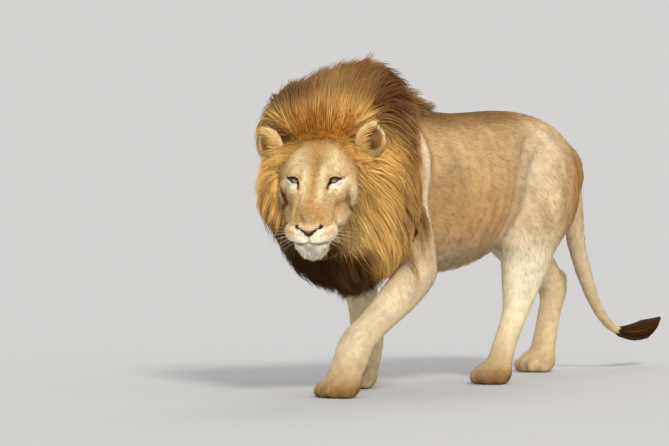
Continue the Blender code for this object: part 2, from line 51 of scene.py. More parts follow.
SHIFT = np.array([-0.00904, -0.09606, 0.0])     # from the lion's own middle to the row's frame
HEAD_YAW, HEAD_PITCH = math.radians(24), math.radians(24)
TURN = Matrix.Rotation(HEAD_YAW, 3, "Z") @ Matrix.Rotation(HEAD_PITCH, 3, "X")
HX, HY, HZ = (np.array(TURN.col[i]) for i in range(3))   # the head's left, back and up
HEAD_AXES = np.array([HX, HY, HZ])
HEAD_AT = np.array([0.078, -0.872, 0.670]) + SHIFT
EYE_RADIUS = 0.0200
GAZE_DOWN = math.radians(8)
COAT_BODY, COAT_FACE = 0.0045, 0.0022           # how deep the skin lies under the coat's tips
VOXEL = {"core": 0.009, "body_skin": 0.0064, "face_skin": 0.00235, "ear_skin": 0.0018, "nose_pad": 0.0010}
PIECE_TRIANGLES = 190000                        # what one piece of coat is planned to hold at most
PATCH = 0.003                                   # a strand's patch in the map OFBake
HAIR_WIDTHS, WHISKER_WIDTH = (0.0017, 0.0031), 0.0006
LOCK_RADIUS = 0.0150                            # how far a lock's hairs stand from its guide
MANE_REACH, MANE_END = 0.30, -0.05              # the mane's wool lies this near its form and forward of this
EDGE_FROM = -0.60                               # the mane's left edge is drawn forward behind this place
OFF_BODY, ON_BODY = 0.010, 0.008                # mane hair nearer the body than this is laid on it, this high
SKIN_OVER_EYE = 0.0034                          # how deep the eyeball stays under the skin beside the lids
STAGE_SIZE = 1500.0                             # half the floor's width, so that its edge lies at the horizon


def box_middle(name):
    low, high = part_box(name)
    return (np.array(low) + np.array(high)) / 2


def head(x, y, z):
    """A point of the head's own frame (left, back, up from between the eyes) in the row's frame."""
    return HEAD_AT + HX * x + HY * y + HZ * z


def from_head(q):
    """Many points of the head's own frame in the row's."""
    return HEAD_AT + q @ HEAD_AXES


def head_ways(v):
    """Directions of the row's frame in the head's own."""
    return np.stack([v @ HX, v @ HY, v @ HZ], -1)


def to_head(p):
    return head_ways(p - HEAD_AT)


def own(p):
    """Row's frame to the lion's own, where the feet and joints are known."""
    return p - SHIFT


EYES = {1: box_middle("eye_left"), -1: box_middle("eye_right")}

# ---------------------------------------------------------------- small tools


def ramp(x, a, b):
    """0 before a, 1 after b, smooth between. a may be the larger."""
    t = np.clip((x - a) / (b - a), 0, 1)
    return t * t * (3 - 2 * t)


def unit(v):
    return v / np.maximum(np.linalg.norm(v, axis=-1, keepdims=True), 1e-9)


def mix(a, b, t):
    """From a to b by t, which may hold one share for each row."""
    t = np.asarray(t)[..., None] if np.ndim(t) and np.ndim(a) and np.shape(a)[-1] == 3 else t
    return a + (b - a) * t


def paint(base, colour, amount):
    """base (n, 3) blended towards one colour, by amount (n)."""
    return base + (np.array(colour) - base) * amount[:, None]


def painted(base, coats):
    """base (n, 3) under several (colour, amount), each over the last."""
    for colour, amount in coats:
        base = paint(base, colour, amount)
    return base


class Noise:
    """Smooth 3-D noise: a few octaves of random lattice values."""

    def __init__(self, seed):
        self.grid = np.random.default_rng(seed).random((32, 32, 32))

    def __call__(self, p, size, octaves=2):
        out, scale, total = 0.0, 1.0, 0.0
        for k in range(octaves):
            q = p / size * 2**k + 11.3 * k
            i = np.floor(q).astype(int)
            f = q - i
            f = f * f * (3 - 2 * f)
            value = 0.0
            for corner in range(8):
                o = np.array([corner & 1, corner >> 1 & 1, corner >> 2 & 1])
                w = np.prod(np.where(o, f, 1 - f), axis=-1)
                j = (i + o) % 32
                value = value + w * self.grid[j[..., 0], j[..., 1], j[..., 2]]
            out, total = out + value * scale, total + scale
            scale *= 0.5
        return out / total


NOISE = Noise(3)


def per_point(obj, what="co"):
    """Each point's place or, as "normal", its outward direction."""
    out = np.empty(len(obj.data.vertices) * 3)
    obj.data.vertices.foreach_get(what, out)
    return out.reshape(-1, 3)


def form_of(obj):
    """A mesh object as (points, triangles)."""
    obj.data.calc_loop_triangles()
    out = np.empty(len(obj.data.loop_triangles) * 3, np.int32)
    obj.data.loop_triangles.foreach_get("vertices", out)
    return per_point(obj), out.reshape(-1, 3)


def joined(forms):
    """Several (points, triangles) as one."""
    points, triangles = zip(*forms)
    bases = np.cumsum([0, *map(len, points)])
    return np.vstack(points), np.vstack([t + base for t, base in zip(triangles, bases)])


def tree_of(*objects):
    points, triangles = joined(map(form_of, objects))
    return BVHTree.FromPolygons(points.tolist(), triangles.tolist())


def put_points(obj, points):
    obj.data.vertices.foreach_set("co", np.ascontiguousarray(points, np.float32).ravel())
    obj.data.update()


def put_tint(obj, tint):
    rgba = np.ones((len(tint), 4), np.float32)
    rgba[:, :3] = np.clip(tint, 0, 1)
    obj.data.color_attributes.new("tint", "FLOAT_COLOR", "POINT").data.foreach_set("color", rgba.ravel())


def mesh_of(name, points, triangles, tint=None, uv=None, normals=None):
    """A mesh object from arrays: one tint, one UV and one shading direction for each point."""
    mesh = bpy.data.meshes.new(name)
    mesh.vertices.add(len(points))
    mesh.vertices.foreach_set("co", np.ascontiguousarray(points, np.float32).ravel())
    loops = np.ascontiguousarray(triangles, np.int32).ravel()
    mesh.loops.add(len(loops))
    mesh.loops.foreach_set("vertex_index", loops)
    mesh.polygons.add(len(triangles))
    mesh.polygons.foreach_set("loop_start", np.arange(0, len(loops), 3, dtype=np.int32))
    mesh.polygons.foreach_set("use_smooth", np.full(len(triangles), True))
    mesh.update(calc_edges=True)
    obj = bpy.data.objects.new(name, mesh)
    bpy.context.scene.collection.objects.link(obj)
    if tint is not None:
        put_tint(obj, tint)
    if uv is not None:
        layer = mesh.uv_layers.new(name="OFBake")
        layer.data.foreach_set("uv", np.ascontiguousarray(uv[loops], np.float32).ravel())
    if normals is not None:
        mesh.normals_split_custom_set_from_vertices(normals.tolist())
    return obj


def apply_modifiers(obj):
    graph = bpy.context.evaluated_depsgraph_get()
    mesh = bpy.data.meshes.new_from_object(obj.evaluated_get(graph))
    obj.modifiers.clear()
    old, obj.data = obj.data, mesh
    bpy.data.meshes.remove(old)
    return obj


def shell(name, nodes, voxel, rounds, extra=()):
    """One closed surface round copies of CAD nodes and extra (points, triangles) solids, softened."""
    obj = mesh_of(name, *joined([*(form_of(NODES[n]) for n in nodes), *extra]))
    remesh = obj.modifiers.new("Remesh", "REMESH")
    remesh.mode, remesh.voxel_size, remesh.use_smooth_shade = "VOXEL", voxel, True
    soft = obj.modifiers.new("Smooth", "SMOOTH")
    soft.factor, soft.iterations = 0.5, rounds
    return apply_modifiers(obj)


def ellipsoid(centre, radii):
    """A closed ball along the head's axes, as (points, triangles)."""
    bm = bmesh.new()
    bmesh.ops.create_icosphere(bm, subdivisions=3, radius=1)
    p = np.array([v.co for v in bm.verts]) * np.array(radii)
    t = np.array([[v.index for v in f.verts] for f in bm.faces])
    bm.free()
    return p @ HEAD_AXES + head(*centre), t


def nearest(tree, points):
    """Nearest place on a tree for each point: (places, normals, face numbers, distances)."""
    return [np.array(part) for part in zip(*(tree.find_nearest(p) for p in points.tolist()))]


def from_segments(p, path):
    """Distance from each point to a polyline, and how far along it (0 to 1)."""
    path = np.array(path, float)
    best, along = np.full(len(p), 1e9), np.zeros(len(p))
    for i, (a, b) in enumerate(zip(path, path[1:])):
        ab = b - a
        t = np.clip((p - a) @ ab / (ab @ ab), 0, 1)
        d = np.linalg.norm(p - a - t[:, None] * ab, axis=1)
        nearer = d < best
        best = np.where(nearer, d, best)
        along = np.where(nearer, (i + t) / (len(path) - 1), along)
    return best, along

# ---------------------------------------------------------------- colours (given as sRGB, kept linear)


def lin(r, g, b):
    c = np.array([r, g, b]) / 255
    return np.where(c < 0.04045, c / 12.92, ((c + 0.055) / 1.055) ** 2.4)


SAND = lin(190, 150, 94)
PALE = lin(222, 194, 142)
CREAM = lin(240, 226, 184)
LEG = lin(228, 212, 178)
WHITE = lin(242, 236, 212)
TAN = lin(172, 126, 70)
RUST = lin(150, 96, 42)
DORSAL = lin(112, 70, 20)
UMBER = lin(60, 34, 8)
DARK = lin(38, 22, 12)
GOLD = lin(236, 182, 102)
AMBER = lin(166, 98, 14)
STRAW = lin(222, 182, 118)
BROWN = lin(128, 90, 54)
CROWN = lin(118, 84, 44)


def hump(x, middle, width):
    return np.exp(-(((x - middle) / width) ** 2))


def near(p, centre, radius):
    return np.exp(-np.sum((p - np.array(centre)) ** 2, axis=1) / radius**2)


def along_path(p, path, radius):
    return np.exp(-((from_segments(p, path)[0] / radius) ** 2))


# Where the shoulder blades' ridges and the thighs' front folds run, shaped in the skin and painted in the coat,
# in the lion's own frame: s is +1 for its left side, -1 for its right.

SCAPULA = {1: [(0.10, -0.396, 0.86), (0.14, -0.400, 0.80), (0.17, -0.402, 0.72), (0.195, -0.420, 0.66),
               (0.205, -0.444, 0.60), (0.205, -0.452, 0.52), (0.20, -0.428, 0.44)],
           -1: [(-0.12, -0.36, 0.84), (-0.165, -0.35, 0.75), (-0.19, -0.34, 0.66), (-0.20, -0.32, 0.58),
                (-0.20, -0.28, 0.50)]}
THIGH_FRONT = {1: [(0.14, 0.250, 0.77), (0.160, 0.150, 0.70), (0.170, 0.085, 0.62), (0.170, 0.060, 0.54),
                   (0.165, 0.060, 0.46)],
               -1: [(-0.14, 0.36, 0.77), (-0.16, 0.30, 0.70), (-0.165, 0.28, 0.60), (-0.165, 0.33, 0.52)]}


def coat_tint(p, n):
    """The short coat's colour on trunk, legs and tail, for points p with outward directions n; it holds painted
    shade below, behind and in creases and folds, and painted highlights on ridges and folds.
    """
    q = own(p)
    x, y, z = q.T
    side = np.abs(x)
    cloud = NOISE(q, 0.16, 3) - 0.5
    streak = NOISE(q * np.array([1.0, 0.30, 1.0]), 0.016, 2) - 0.5
    tint = np.tile(SAND, (len(q), 1))
    tint = paint(tint, PALE, ramp(z, 0.55, 0.74) * ramp(z, 0.86, 0.78) * 0.25)
    belly = ramp(z, 0.56, 0.44) * ramp(z, 0.30, 0.40) * ramp(y, 0.25, 0.05)
    tint = paint(tint, lin(184, 132, 72), belly * 0.75)
    spine = ramp(z, 0.790, 0.860) * ramp(n[:, 2], 0.1, 0.8)
    tint = paint(tint, DORSAL, spine * ramp(y, 0.75, 0.2) * 0.85)
    flank = near(q * [0, 1, 1], (0, 0.30, 0.60), 0.11) * ramp(side, 0.05, 0.12)
    tint = paint(tint, mix(PALE, CREAM, 0.4), flank * 0.55)
    rump = near(q, (0.10, 0.42, 0.76), 0.17) + near(q, (-0.10, 0.42, 0.76), 0.17)
    tint = paint(tint, PALE, np.minimum(rump, 1) * 0.45 * (1 - spine * 0.6))
    # darker tawny on the backward-facing rear of the thighs: partly the coat's own tone, partly painted shade
    behind = ramp(n[:, 1], -0.25, 0.6) * ramp(y, 0.28, 0.40) * ramp(z, 0.30, 0.45)
    tint = paint(tint, lin(146, 96, 40), behind * ramp(z, 0.80, 0.7) * 0.90)
    for s in (1, -1):
        here = ramp(x * s, 0.0, 0.06)
        ridge, fold = np.array(SCAPULA[s]), np.array(THIGH_FRONT[s])
        tint = painted(tint, [
            # painted highlight along the shoulder blade's ridge, then painted shade in the groove behind it
            (lin(238, 220, 178), np.minimum(along_path(q, ridge, 0.016) * 1.2, 1) * here * 0.85),
            (BROWN, along_path(q, ridge + [0, 0.032, 0], 0.010) * here * 0.55),
            # painted shade in the crease before the thigh; behind it the thigh's own paler coat
            (TAN, along_path(q, fold + [0, -0.012, 0], 0.020) * here * 0.35),
            (LEG, along_path(q, fold + [0, 0.080, -0.02], 0.075) * here * 0.40),
        ])
    tint = painted(tint, [
        (LEG, ramp(z, 0.54, 0.34) * (0.78 - 0.3 * ramp(n[:, 1], 0.0, 0.8))),
        (lin(250, 240, 206), hump(z, 0.32, 0.13) * ramp(y, 0.0, 0.1) * ramp(n[:, 1], 0.6, -0.1) * 0.75),
        (lin(186, 154, 106), ramp(z, 0.15, 0.06) * 0.75),
        (lin(126, 88, 46), ramp(z, 0.075, 0.018) * 0.85),
    ])
    inner = ramp(n[:, 0] * np.sign(x), 0.1, -0.7) * ramp(z, 0.52, 0.44)
    tint = paint(tint, CREAM, inner * 0.4)
    # painted shade: brown on the downward-facing parts behind the elbows and under the trunk
    elbow_shade = near(q, (0.15, -0.40, 0.40), 0.09) + near(q, (-0.15, -0.27, 0.45), 0.09)
    under = ramp(n[:, 2], -0.3, -0.9) * ramp(y, -0.45, -0.3) * ramp(y, 0.28, 0.15) * ramp(z, 0.30, 0.36)
    tint = paint(tint, BROWN, np.minimum(elbow_shade * ramp(n[:, 2], 0.1, -0.6) * 0.6 + under * 0.35, 1))
    tail = ramp(y, 0.58, 0.66)
    tint = paint(tint, lin(208, 184, 142), tail * 0.8)
    # painted shade and highlight: light and dark streaks running up and down the trunk's sides, standing for
    # skin folds
    fold = NOISE(q * np.array([1.0, 1.0, 0.22]), 0.034, 2) - 0.5
    fold = fold * ramp(z, 0.42, 0.55) * ramp(z, 0.86, 0.78)
    speck = NOISE(q * np.array([1.0, 0.5, 0.7]), 0.009, 2) - 0.5
    blotch = NOISE(q * np.array([1.0, 0.8, 0.6]), 0.045, 2) - 0.5
    tint = tint * (0.95 + 0.24 * cloud + 0.26 * streak + 0.42 * fold + 0.30 * speck + 0.20 * blotch)[:, None]
    return tint * (1 + np.array([-0.04, 0.0, 0.12]) * ramp(z, 0.30, 0.60)[:, None])


# ---------------------------------------------------------------- skin

FLESH = ["trunk", *(f"{part}_{side}" for part in ("forearm", "forepaw", "shank", "hind_paw")
                    for side in ("left", "right")), "tail"]


def brushed(points, normals, strokes):
    """Moves points out along their normals near each (path, radius, height), or in where height is below 0."""
    for path, radius, height in strokes:
        d, _ = from_segments(points, path)
        points = points + normals * (height * np.exp(-((d / radius) ** 2)))[:, None]
    return points


def edge_share(q):
    """How much the mane's left edge is drawn forward at a place of the lion's own frame."""
    return 0.30 * ramp(q[:, 0], 0.07, 0.13) * ramp(q[:, 2], 0.52, 0.62) * ramp(q[:, 2], 0.90, 0.84)


def drawn(p):
    """A place of the mane's solid, moved to where the hair lies."""
    p = p.copy()
    q = own(p)
    p[:, 1] -= np.maximum(q[:, 1] - EDGE_FROM, 0) * edge_share(q)
    return p


def undrawn(p):
    """The reverse: where a place of the hair lies in the mane's solid."""
    p = p.copy()
    q = own(p)
    run = np.maximum(q[:, 1] - EDGE_FROM, 0)
    p[:, 1] += run / (1 - edge_share(q)) - run
    return p


def make_core():
    """The dense under-wool of the mane: its CAD form, drawn in by most of the locks' depth."""
    core = shell("core", ["mane"], VOXEL["core"], 20)
    p, n = per_point(core), per_point(core, "normal")
    depth = 0.006 + 0.024 * ramp(border(to_head(p)), 0.0, 0.13)
    triangles = form_of(core)[1]
    bpy.data.objects.remove(core)
    return drawn(p - n * depth[:, None]), triangles


def make_body_skin(core):
    """One skin over trunk, legs, tail and the mane's wool, with shoulder blades, thigh folds and faint ribs."""
    skin = shell("body_skin", FLESH, VOXEL["body_skin"], 9, [core])
    p, n = per_point(skin), per_point(skin, "normal")
    floor = ramp(p[:, 2], 0.0, 0.03)
    p = p - n * (COAT_BODY * (0.35 + 0.65 * floor))[:, None]
    q = own(p)
    for s in (1, -1):
        ridge, fold = np.array(SCAPULA[s]), np.array(THIGH_FRONT[s])
        starts = [-0.16 + 0.055 * k for k in range(6)]
        ribs = [[(0.17 * s, y + 0.03, 0.72), (0.20 * s, y, 0.60), (0.185 * s, y - 0.05, 0.47)] for y in starts]
        q = brushed(q, n, [
            (ridge, 0.018, 0.006),
            (ridge + [0.0, 0.036, 0.0], 0.016, -0.007),
            (fold + [0.0, -0.01, 0.0], 0.018, -0.008),
            (fold + [0.0, 0.05, 0.0], 0.034, 0.006),
            *((rib, 0.016, 0.0022) for rib in ribs),
        ])
    p = q + SHIFT
    p[:, 2] = np.maximum(p[:, 2], 0.0002)
    put_points(skin, p)
    return skin


# The face's lines, in the head's frame, for its left side (x is turned for the right side).

BROW = [(0.034, -0.066, 0.026), (0.060, -0.046, 0.032), (0.090, -0.018, 0.018)]
BRIDGE_SIDE = [(0.034, -0.092, -0.006), (0.040, -0.118, -0.030), (0.050, -0.148, -0.062)]
CHEEK_ROLL = [(0.074, -0.062, -0.036), (0.085, -0.045, -0.066), (0.086, -0.040, -0.100),
              (0.078, -0.060, -0.126)]
CHEEK_CREASE = [(0.102, -0.030, -0.020), (0.097, -0.034, -0.052), (0.093, -0.018, -0.088),
                (0.088, -0.020, -0.128)]
TEMPLE_CREASE = [(-0.110, -0.010, -0.026), (-0.103, -0.033, -0.042), (-0.095, -0.037, -0.058),
                 (-0.085, -0.040, -0.072), (-0.082, -0.034, -0.092)]     # on the right, in shade
JOWL_CREASE = [(-0.112, 0.000, -0.084), (-0.107, -0.004, -0.104), (-0.102, -0.007, -0.124),
               (-0.098, -0.010, -0.148)]
CHEEK_PALE = [(0.112, -0.010, -0.045), (0.098, -0.020, -0.075), (0.082, -0.045, -0.095),
              (0.072, -0.075, -0.105)]
PAD_TOP = [(0.050, -0.152, -0.070), (0.070, -0.130, -0.084), (0.080, -0.098, -0.104)]
MOUTH = [(0.0, -0.208, -0.119), (0.012, -0.207, -0.1235), (0.030, -0.199, -0.1265), (0.048, -0.182, -0.1265),
         (0.062, -0.150, -0.128), (0.069, -0.112, -0.133), (0.072, -0.080, -0.138)]
PHILTRUM = [(0.0, -0.200, -0.096), (0.0, -0.208, -0.119)]
NOSTRIL = [(0.005, -0.203, -0.0955), (0.013, -0.201, -0.0905), (0.023, -0.193, -0.0825),
           (0.034, -0.180, -0.0735), (0.0435, -0.166, -0.0655)]
WHISKER_ROWS = [[(0.026 + 0.010 * k, -0.196 + 0.0045 * k + 0.0011 * k * k, -0.099 - 0.0058 * r + 0.0012 * k)
                 for k in range(5)] for r in range(4)]
JOWL = [((0.066, -0.020, -0.100), (0.034, 0.062, 0.052)), ((0.040, -0.010, -0.135), (0.05, 0.06, 0.045)),
        ((0.080, 0.020, -0.050), (0.044, 0.06, 0.07)), ((0.020, -0.152, -0.143), (0.036, 0.044, 0.020)),
        ((0.012, -0.156, -0.158), (0.030, 0.032, 0.018))]
FISSURE = [(-0.0160, -0.0150), (-0.0132, -0.0080), (-0.0095, -0.0026), (-0.0030, 0.0014), (0.0050, 0.0026),
           (0.0120, 0.0027), (0.0190, 0.0015), (0.0165, -0.0012), (0.0110, -0.0038), (0.0030, -0.0070),
           (-0.0050, -0.0100), (-0.0118, -0.0145)]


def turned(path, s):
    return [(x * s, y, z) for x, y, z in path]


def eye_axes(s):
    """Outward, up and forward of an eye whose opening faces level and a little outward."""
    a = HEAD_YAW + math.radians(7) * s
    forward = np.array([math.sin(a), -math.cos(a), 0.03])
    forward /= np.linalg.norm(forward)
    out = unit(np.cross([0, 0, 1.0], forward)) * -1
    out = out if out @ HX > 0 else -out
    return out * s, np.array([0, 0, 1.0]) - forward * forward[2], forward


def in_eye(p, s):
    """How far outward, up and forward of an eye's middle points lie."""
    return (((p - EYES[s]) @ axis) for axis in eye_axes(s))


def closed_curve(points, n):
    """n even points on a smooth closed curve through a few."""
    p = np.array(points)
    k = len(p)
    t = np.linspace(0, k, n, endpoint=False)
    i = t.astype(int)
    f = (t - i)[:, None]
    a, b, c, d = p[(i - 1) % k], p[i % k], p[(i + 1) % k], p[(i + 2) % k]
    return 0.5 * (2 * b + (c - a) * f + (2 * a - 5 * b + 4 * c - d) * f * f + (3 * b - a - 3 * c + d) * f**3)


def fissure_level(u, v, grow=0.0):
    """How far inside (below 0) or outside the eye's opening a point (u, v) lies, in metres."""
    ring = closed_curve(FISSURE, 96)
    middle = ring.mean(0)
    a = np.arctan2(ring[:, 1] - middle[1], ring[:, 0] - middle[0])
    order = np.argsort(a)
    edge = np.hypot(*(ring - middle).T)[order]
    b = np.arctan2(v - middle[1], u - middle[0])
    return np.hypot(u - middle[0], v - middle[1]) - np.interp(b, a[order], edge, period=2 * np.pi) - grow


def snapped(path, tree, step=0.003):
    """A path of the head's frame laid on a surface, with a point at each step."""
    p = np.array(path, float)
    run = np.append(0, np.cumsum(np.linalg.norm(np.diff(p, axis=0), axis=1)))
    at = np.linspace(0, run[-1], max(int(run[-1] / step), 2) + 1)
    p = np.stack([np.interp(at, run, p[:, i]) for i in range(3)], -1)
    return to_head(nearest(tree, from_head(p))[0])


LINES = {}                                       # the face's lines once they lie on its surface


def lay_lines(tree):
    paths = {"mouth": MOUTH, "roll": CHEEK_ROLL, "crease": CHEEK_CREASE, "pad_top": PAD_TOP,
             "bridge": BRIDGE_SIDE, "brow": BROW}
    paths |= {f"whiskers_{r}": row for r, row in enumerate(WHISKER_ROWS)}
    for name, path in paths.items():
        for s in (1, -1):
            LINES[name, s] = snapped(turned(path, s), tree)
    LINES["philtrum"] = snapped(PHILTRUM, tree)


def make_face_skin():
    """The head's skin, with its lines pressed in and the eyes opened."""
    jowls = [ellipsoid((x * s, y, z), radii) for (x, y, z), radii in JOWL for s in (1, -1)]
    skin = shell("face_skin", ["head", "jaw", "nose", "eye_left", "eye_right"], VOXEL["face_skin"], 13, jowls)
    m = head_ways(per_point(skin, "normal"))
    q = to_head(per_point(skin)) - m * COAT_FACE
    put_points(skin, from_head(q))
    lay_lines(tree_of(skin))
    for s in (1, -1):
        q = brushed(q, m, [
            (LINES["brow", s], 0.011, 0.0042),
            ([(0.040 * s, -0.082, -0.004), (0.043 * s, -0.088, -0.016)], 0.009, -0.0030),
            (LINES["bridge", s], 0.009, -0.0054),
            (LINES["roll", s], 0.015, 0.0022),
            (LINES["crease", s], 0.0070, -0.0050),
            (LINES["pad_top", s], 0.008, -0.0040),
            ([(0.036 * s, -0.190, -0.110), (0.055 * s, -0.165, -0.110)], 0.016, 0.0050),
            (LINES["mouth", s], 0.0042, -0.0080),
            ([(0.030 * s, 0.020, 0.062), (0.034 * s, -0.030, 0.040)], 0.022, 0.0025),
        ])
    q = brushed(q, m, [
        (LINES["philtrum"], 0.0032, -0.0055),
        ([(0.0, 0.030, 0.070), (0.0, -0.050, 0.024)], 0.009, -0.0022),
        ([(-0.012, -0.165, -0.165), (0.012, -0.165, -0.165)], 0.020, 0.0040),
    ])
    for s in (1, -1):                            # opened round the eyes, where the lids close the gap
        forward = eye_axes(s)[2]
        d = from_head(q)
        u, v, w = in_eye(d, s)
        level = fissure_level(u, v)
        back = np.where(w > -0.012, np.clip(1 - (level - 0.0030) / 0.0035, 0, 1), 0) * ramp(w, -0.012, 0.0)
        d = d - forward * (back * 0.016)[:, None]
        e = d - EYES[s]                          # and nowhere else does the ball show through
        r = np.linalg.norm(e, axis=1)
        proud = np.clip(EYE_RADIUS + SKIN_OVER_EYE - r, 0, 0.02) * (back == 0) * (e @ forward > -0.004)
        d = d + unit(e) * proud[:, None]
        q = to_head(d)
    put_points(skin, from_head(q))
    return skin


def face_tint(p):
    """The face's markings, with painted shade along its creases and round the eyes, for points p in the row's
    frame.
    """
    q = to_head(p)
    x, y, z = q.T
    side = np.abs(x)
    f = np.stack([side, y, z], -1)
    cloud = NOISE(q, 0.05, 3) - 0.5
    mottle = NOISE(q, 0.013, 2) - 0.5
    grain = NOISE(q, 0.005, 2) - 0.5
    right = np.where(x < 0, 1.0, 0.6)            # the side in shade

    def line(name, radius, gain=1.0):
        both = (along_path(q, LINES[name, i], radius) for i in (1, -1))
        return np.minimum(np.maximum(*both) * gain, 1)

    tint = np.tile(lin(198, 164, 114), (len(q), 1))
    upper = ramp(z, 0.0, 0.03)
    tint = painted(tint, [
        (mix(PALE, CREAM, 0.35), hump(side, 0.060, 0.026) * upper * 0.7),
        (TAN, hump(side, 0.0, 0.030) * ramp(z, 0.028, 0.055) * np.clip(0.60 + 1.4 * mottle, 0, 1)),
        (CREAM, hump(side, 0.028, 0.0095) * ramp(z, -0.03, 0.0) * ramp(z, 0.062, 0.036) * 0.60),
        (TAN, near(f, (0.047, -0.052, 0.034), 0.012) * 0.55),
        (lin(184, 134, 76), ramp(border(q), -0.058, -0.022) * upper * np.clip(0.75 + 1.2 * mottle, 0, 1)),
    ])
    middle = hump(side, 0.0, 0.0075 + 0.016 * ramp(z, -0.01, -0.05)) * ramp(z, 0.075, 0.04)
    tint = painted(tint, [
        (TAN, middle * ramp(z, -0.10, -0.085) * 0.62),
        (lin(182, 136, 84), near(f, (0.018, -0.156, -0.042), 0.036) * np.clip(0.8 + 1.2 * mottle, 0, 1)),
        (lin(216, 190, 158), near(f, (0.004, -0.181, -0.064), 0.015) * 0.7),
        (TAN, near(f, (0.078, -0.052, -0.060), 0.019) * 0.40),
        (CREAM, along_path(f, CHEEK_PALE, 0.013) * 0.75),
        (mix(PALE, CREAM, 0.5), near(f, (0.104, -0.005, -0.030), 0.028) * 0.6),
        # painted shade along the cheek's crease, heavier on the right side, which is in shade
        (lin(150, 104, 58), line("crease", 0.0130, 1.3) * ramp(z, 0.005, -0.03) * 0.80 * right),
        (UMBER, line("crease", 0.0060, 1.3) * ramp(z, -0.010, -0.04) * 0.95 * right),
    ])
    # painted shade: dark lines along the temple's and jowl's creases on the right, the side in shade
    for path in (TEMPLE_CREASE, JOWL_CREASE):
        tint = paint(tint, UMBER, np.minimum(along_path(q, path, 0.0062) * 1.3, 1) * 0.85)
    below = np.minimum(-0.0985 + 0.76 * side, -0.074 - 0.10 * (side - 0.045)) - z
    pads = ramp(below, 0.0, 0.006) * ramp(y, -0.085, -0.125)
    tint = paint(tint, mix(lin(218, 184, 132), WHITE, 0.40), pads * 0.95)
    tint = paint(tint, WHITE, pads * np.maximum(ramp(side, 0.052, 0.032), ramp(z, -0.098, -0.109)) * 0.95)
    for k in range(len(WHISKER_ROWS)):
        tint = paint(tint, lin(196, 150, 92), line(f"whiskers_{k}", 0.0026) * ramp(side, 0.016, 0.030) * 0.85)
        for spot in WHISKER_ROWS[k][1:]:
            dot = near(f * [1, 0.4, 1], np.array(spot) * [1, 0.4, 1], 0.0022)
            tint = paint(tint, BROWN, np.minimum(dot * 1.4, 1) * 0.7)
    tint = painted(tint, [
        (lin(255, 250, 234), near(f, (0.0, -0.175, -0.155), 0.040) * ramp(z, -0.124, -0.128)),
        (PALE, ramp(z, -0.14, -0.17) * 0.5),
        (UMBER, near(f, (0.068, -0.100, -0.136), 0.020) * ramp(z, -0.118, -0.126) * 0.75),
    ])
    groove = np.minimum(along_path(q, LINES["philtrum"], 0.0034) * 1.7, 1)
    tint = paint(tint, DARK, np.maximum(line("mouth", 0.0050, 1.7), groove) * 0.95)
    for s in (1, -1):                            # lids, the pale cheek below, and the lines from both corners
        u, v, w = in_eye(p, s)
        level = np.where(w > -0.03, fissure_level(u, v), 1)
        above = ramp(v - 0.10 * u, -0.003, 0.003)
        under = ramp(0.35 * u - v, 0.003, 0.008) * ramp(u, -0.020, -0.012)
        # painted shade: tan in the fold over the upper lid; the lids' own dark rim is widened above as painted
        # shade under the heavy upper lid
        tint = painted(tint, [
            (mix(PALE, CREAM, 0.8), under * ramp(level, 0.052, 0.022) * np.clip(0.70 + 1.2 * mottle, 0, 1)),
            (lin(255, 248, 226), under * ramp(level, 0.026, 0.015) * 0.95),
            (TAN, hump(level, 0.0135, 0.0028) * above * 0.60),
        ])
        rim = 0.0030 + 0.0042 * above
        tint = paint(tint, DARK, ramp(level, rim + 0.0020, rim) * 0.97)
        flat = np.stack([u, v, 0 * u], -1)
        tear = along_path(flat, [(-0.0150, -0.0140, 0), (-0.0180, -0.0210, 0), (-0.0195, -0.0270, 0)], 0.0044)
        wing = along_path(flat, [(0.0165, 0.0012, 0), (0.0230, 0.0028, 0), (0.0285, 0.0042, 0)], 0.0030)
        tint = paint(tint, DARK, np.where(w > -0.03, np.minimum(np.maximum(tear, wing) * 1.3, 1), 0) * 0.9)
    return tint * (0.97 + 0.20 * cloud + 0.42 * mottle + 0.60 * grain)[:, None]


def make_lids(s, skin_tree):
    """The rims of one eye: from the ball's surface over a rounded edge to the face."""
    out, up, forward = eye_axes(s)
    ring = closed_curve(FISSURE, 64)
    middle = ring.mean(0)
    edge = np.roll(ring, -1, 0) - np.roll(ring, 1, 0)
    away = unit(np.stack([edge[:, 1], -edge[:, 0]], -1))
    away *= np.sign(np.sum(away * (ring - middle), 1))[:, None]
    centre = EYES[s]

    def on_ball(uv, extra):
        r = np.hypot(*uv.T)
        w = np.sqrt(np.maximum((EYE_RADIUS + extra) ** 2 - r**2, (0.35 * EYE_RADIUS) ** 2))
        return centre + uv[:, :1] * out + uv[:, 1:] * up + w[:, None] * forward

    def on_skin(uv, lift):
        points = []
        for u, v in uv:
            start = centre + out * u + up * v + forward * 0.06
            hit = skin_tree.ray_cast(Vector(start), Vector(-forward), 0.12)
            points.append(np.array(hit[0]) if hit[0] is not None else start - forward * 0.05)
        return np.array(points) + forward * lift

    rings = [on_ball(ring - away * 0.0012, -0.0014), on_ball(ring - away * 0.0002, 0.0004),
             on_ball(ring + away * 0.0006, 0.0017), on_ball(ring + away * 0.0018, 0.0026)]
    outer = [on_skin(ring + away * 0.0085, 0.0006), on_skin(ring + away * 0.0125, -0.0012)]
    bridge_a = mix(rings[-1], outer[0], 0.34) + forward * 0.0008
    bridge_b = mix(rings[-1], outer[0], 0.70) + forward * 0.0006
    rings += [bridge_a, bridge_b] + outer
    points, k = np.vstack(rings), len(ring)
    triangles = []
    for j in range(len(rings) - 1):
        for i in range(k):
            a, b = j * k + i, j * k + (i + 1) % k
            triangles += [(a, b, b + k), (a, b + k, a + k)]
    triangles = np.array(triangles)
    if np.sum(np.cross(points[triangles[:, 1]] - points[triangles[:, 0]],
                       points[triangles[:, 2]] - points[triangles[:, 0]]) @ forward) < 0:
        triangles = triangles[:, ::-1]
    return points, triangles


# ---------------------------------------------------------------- materials


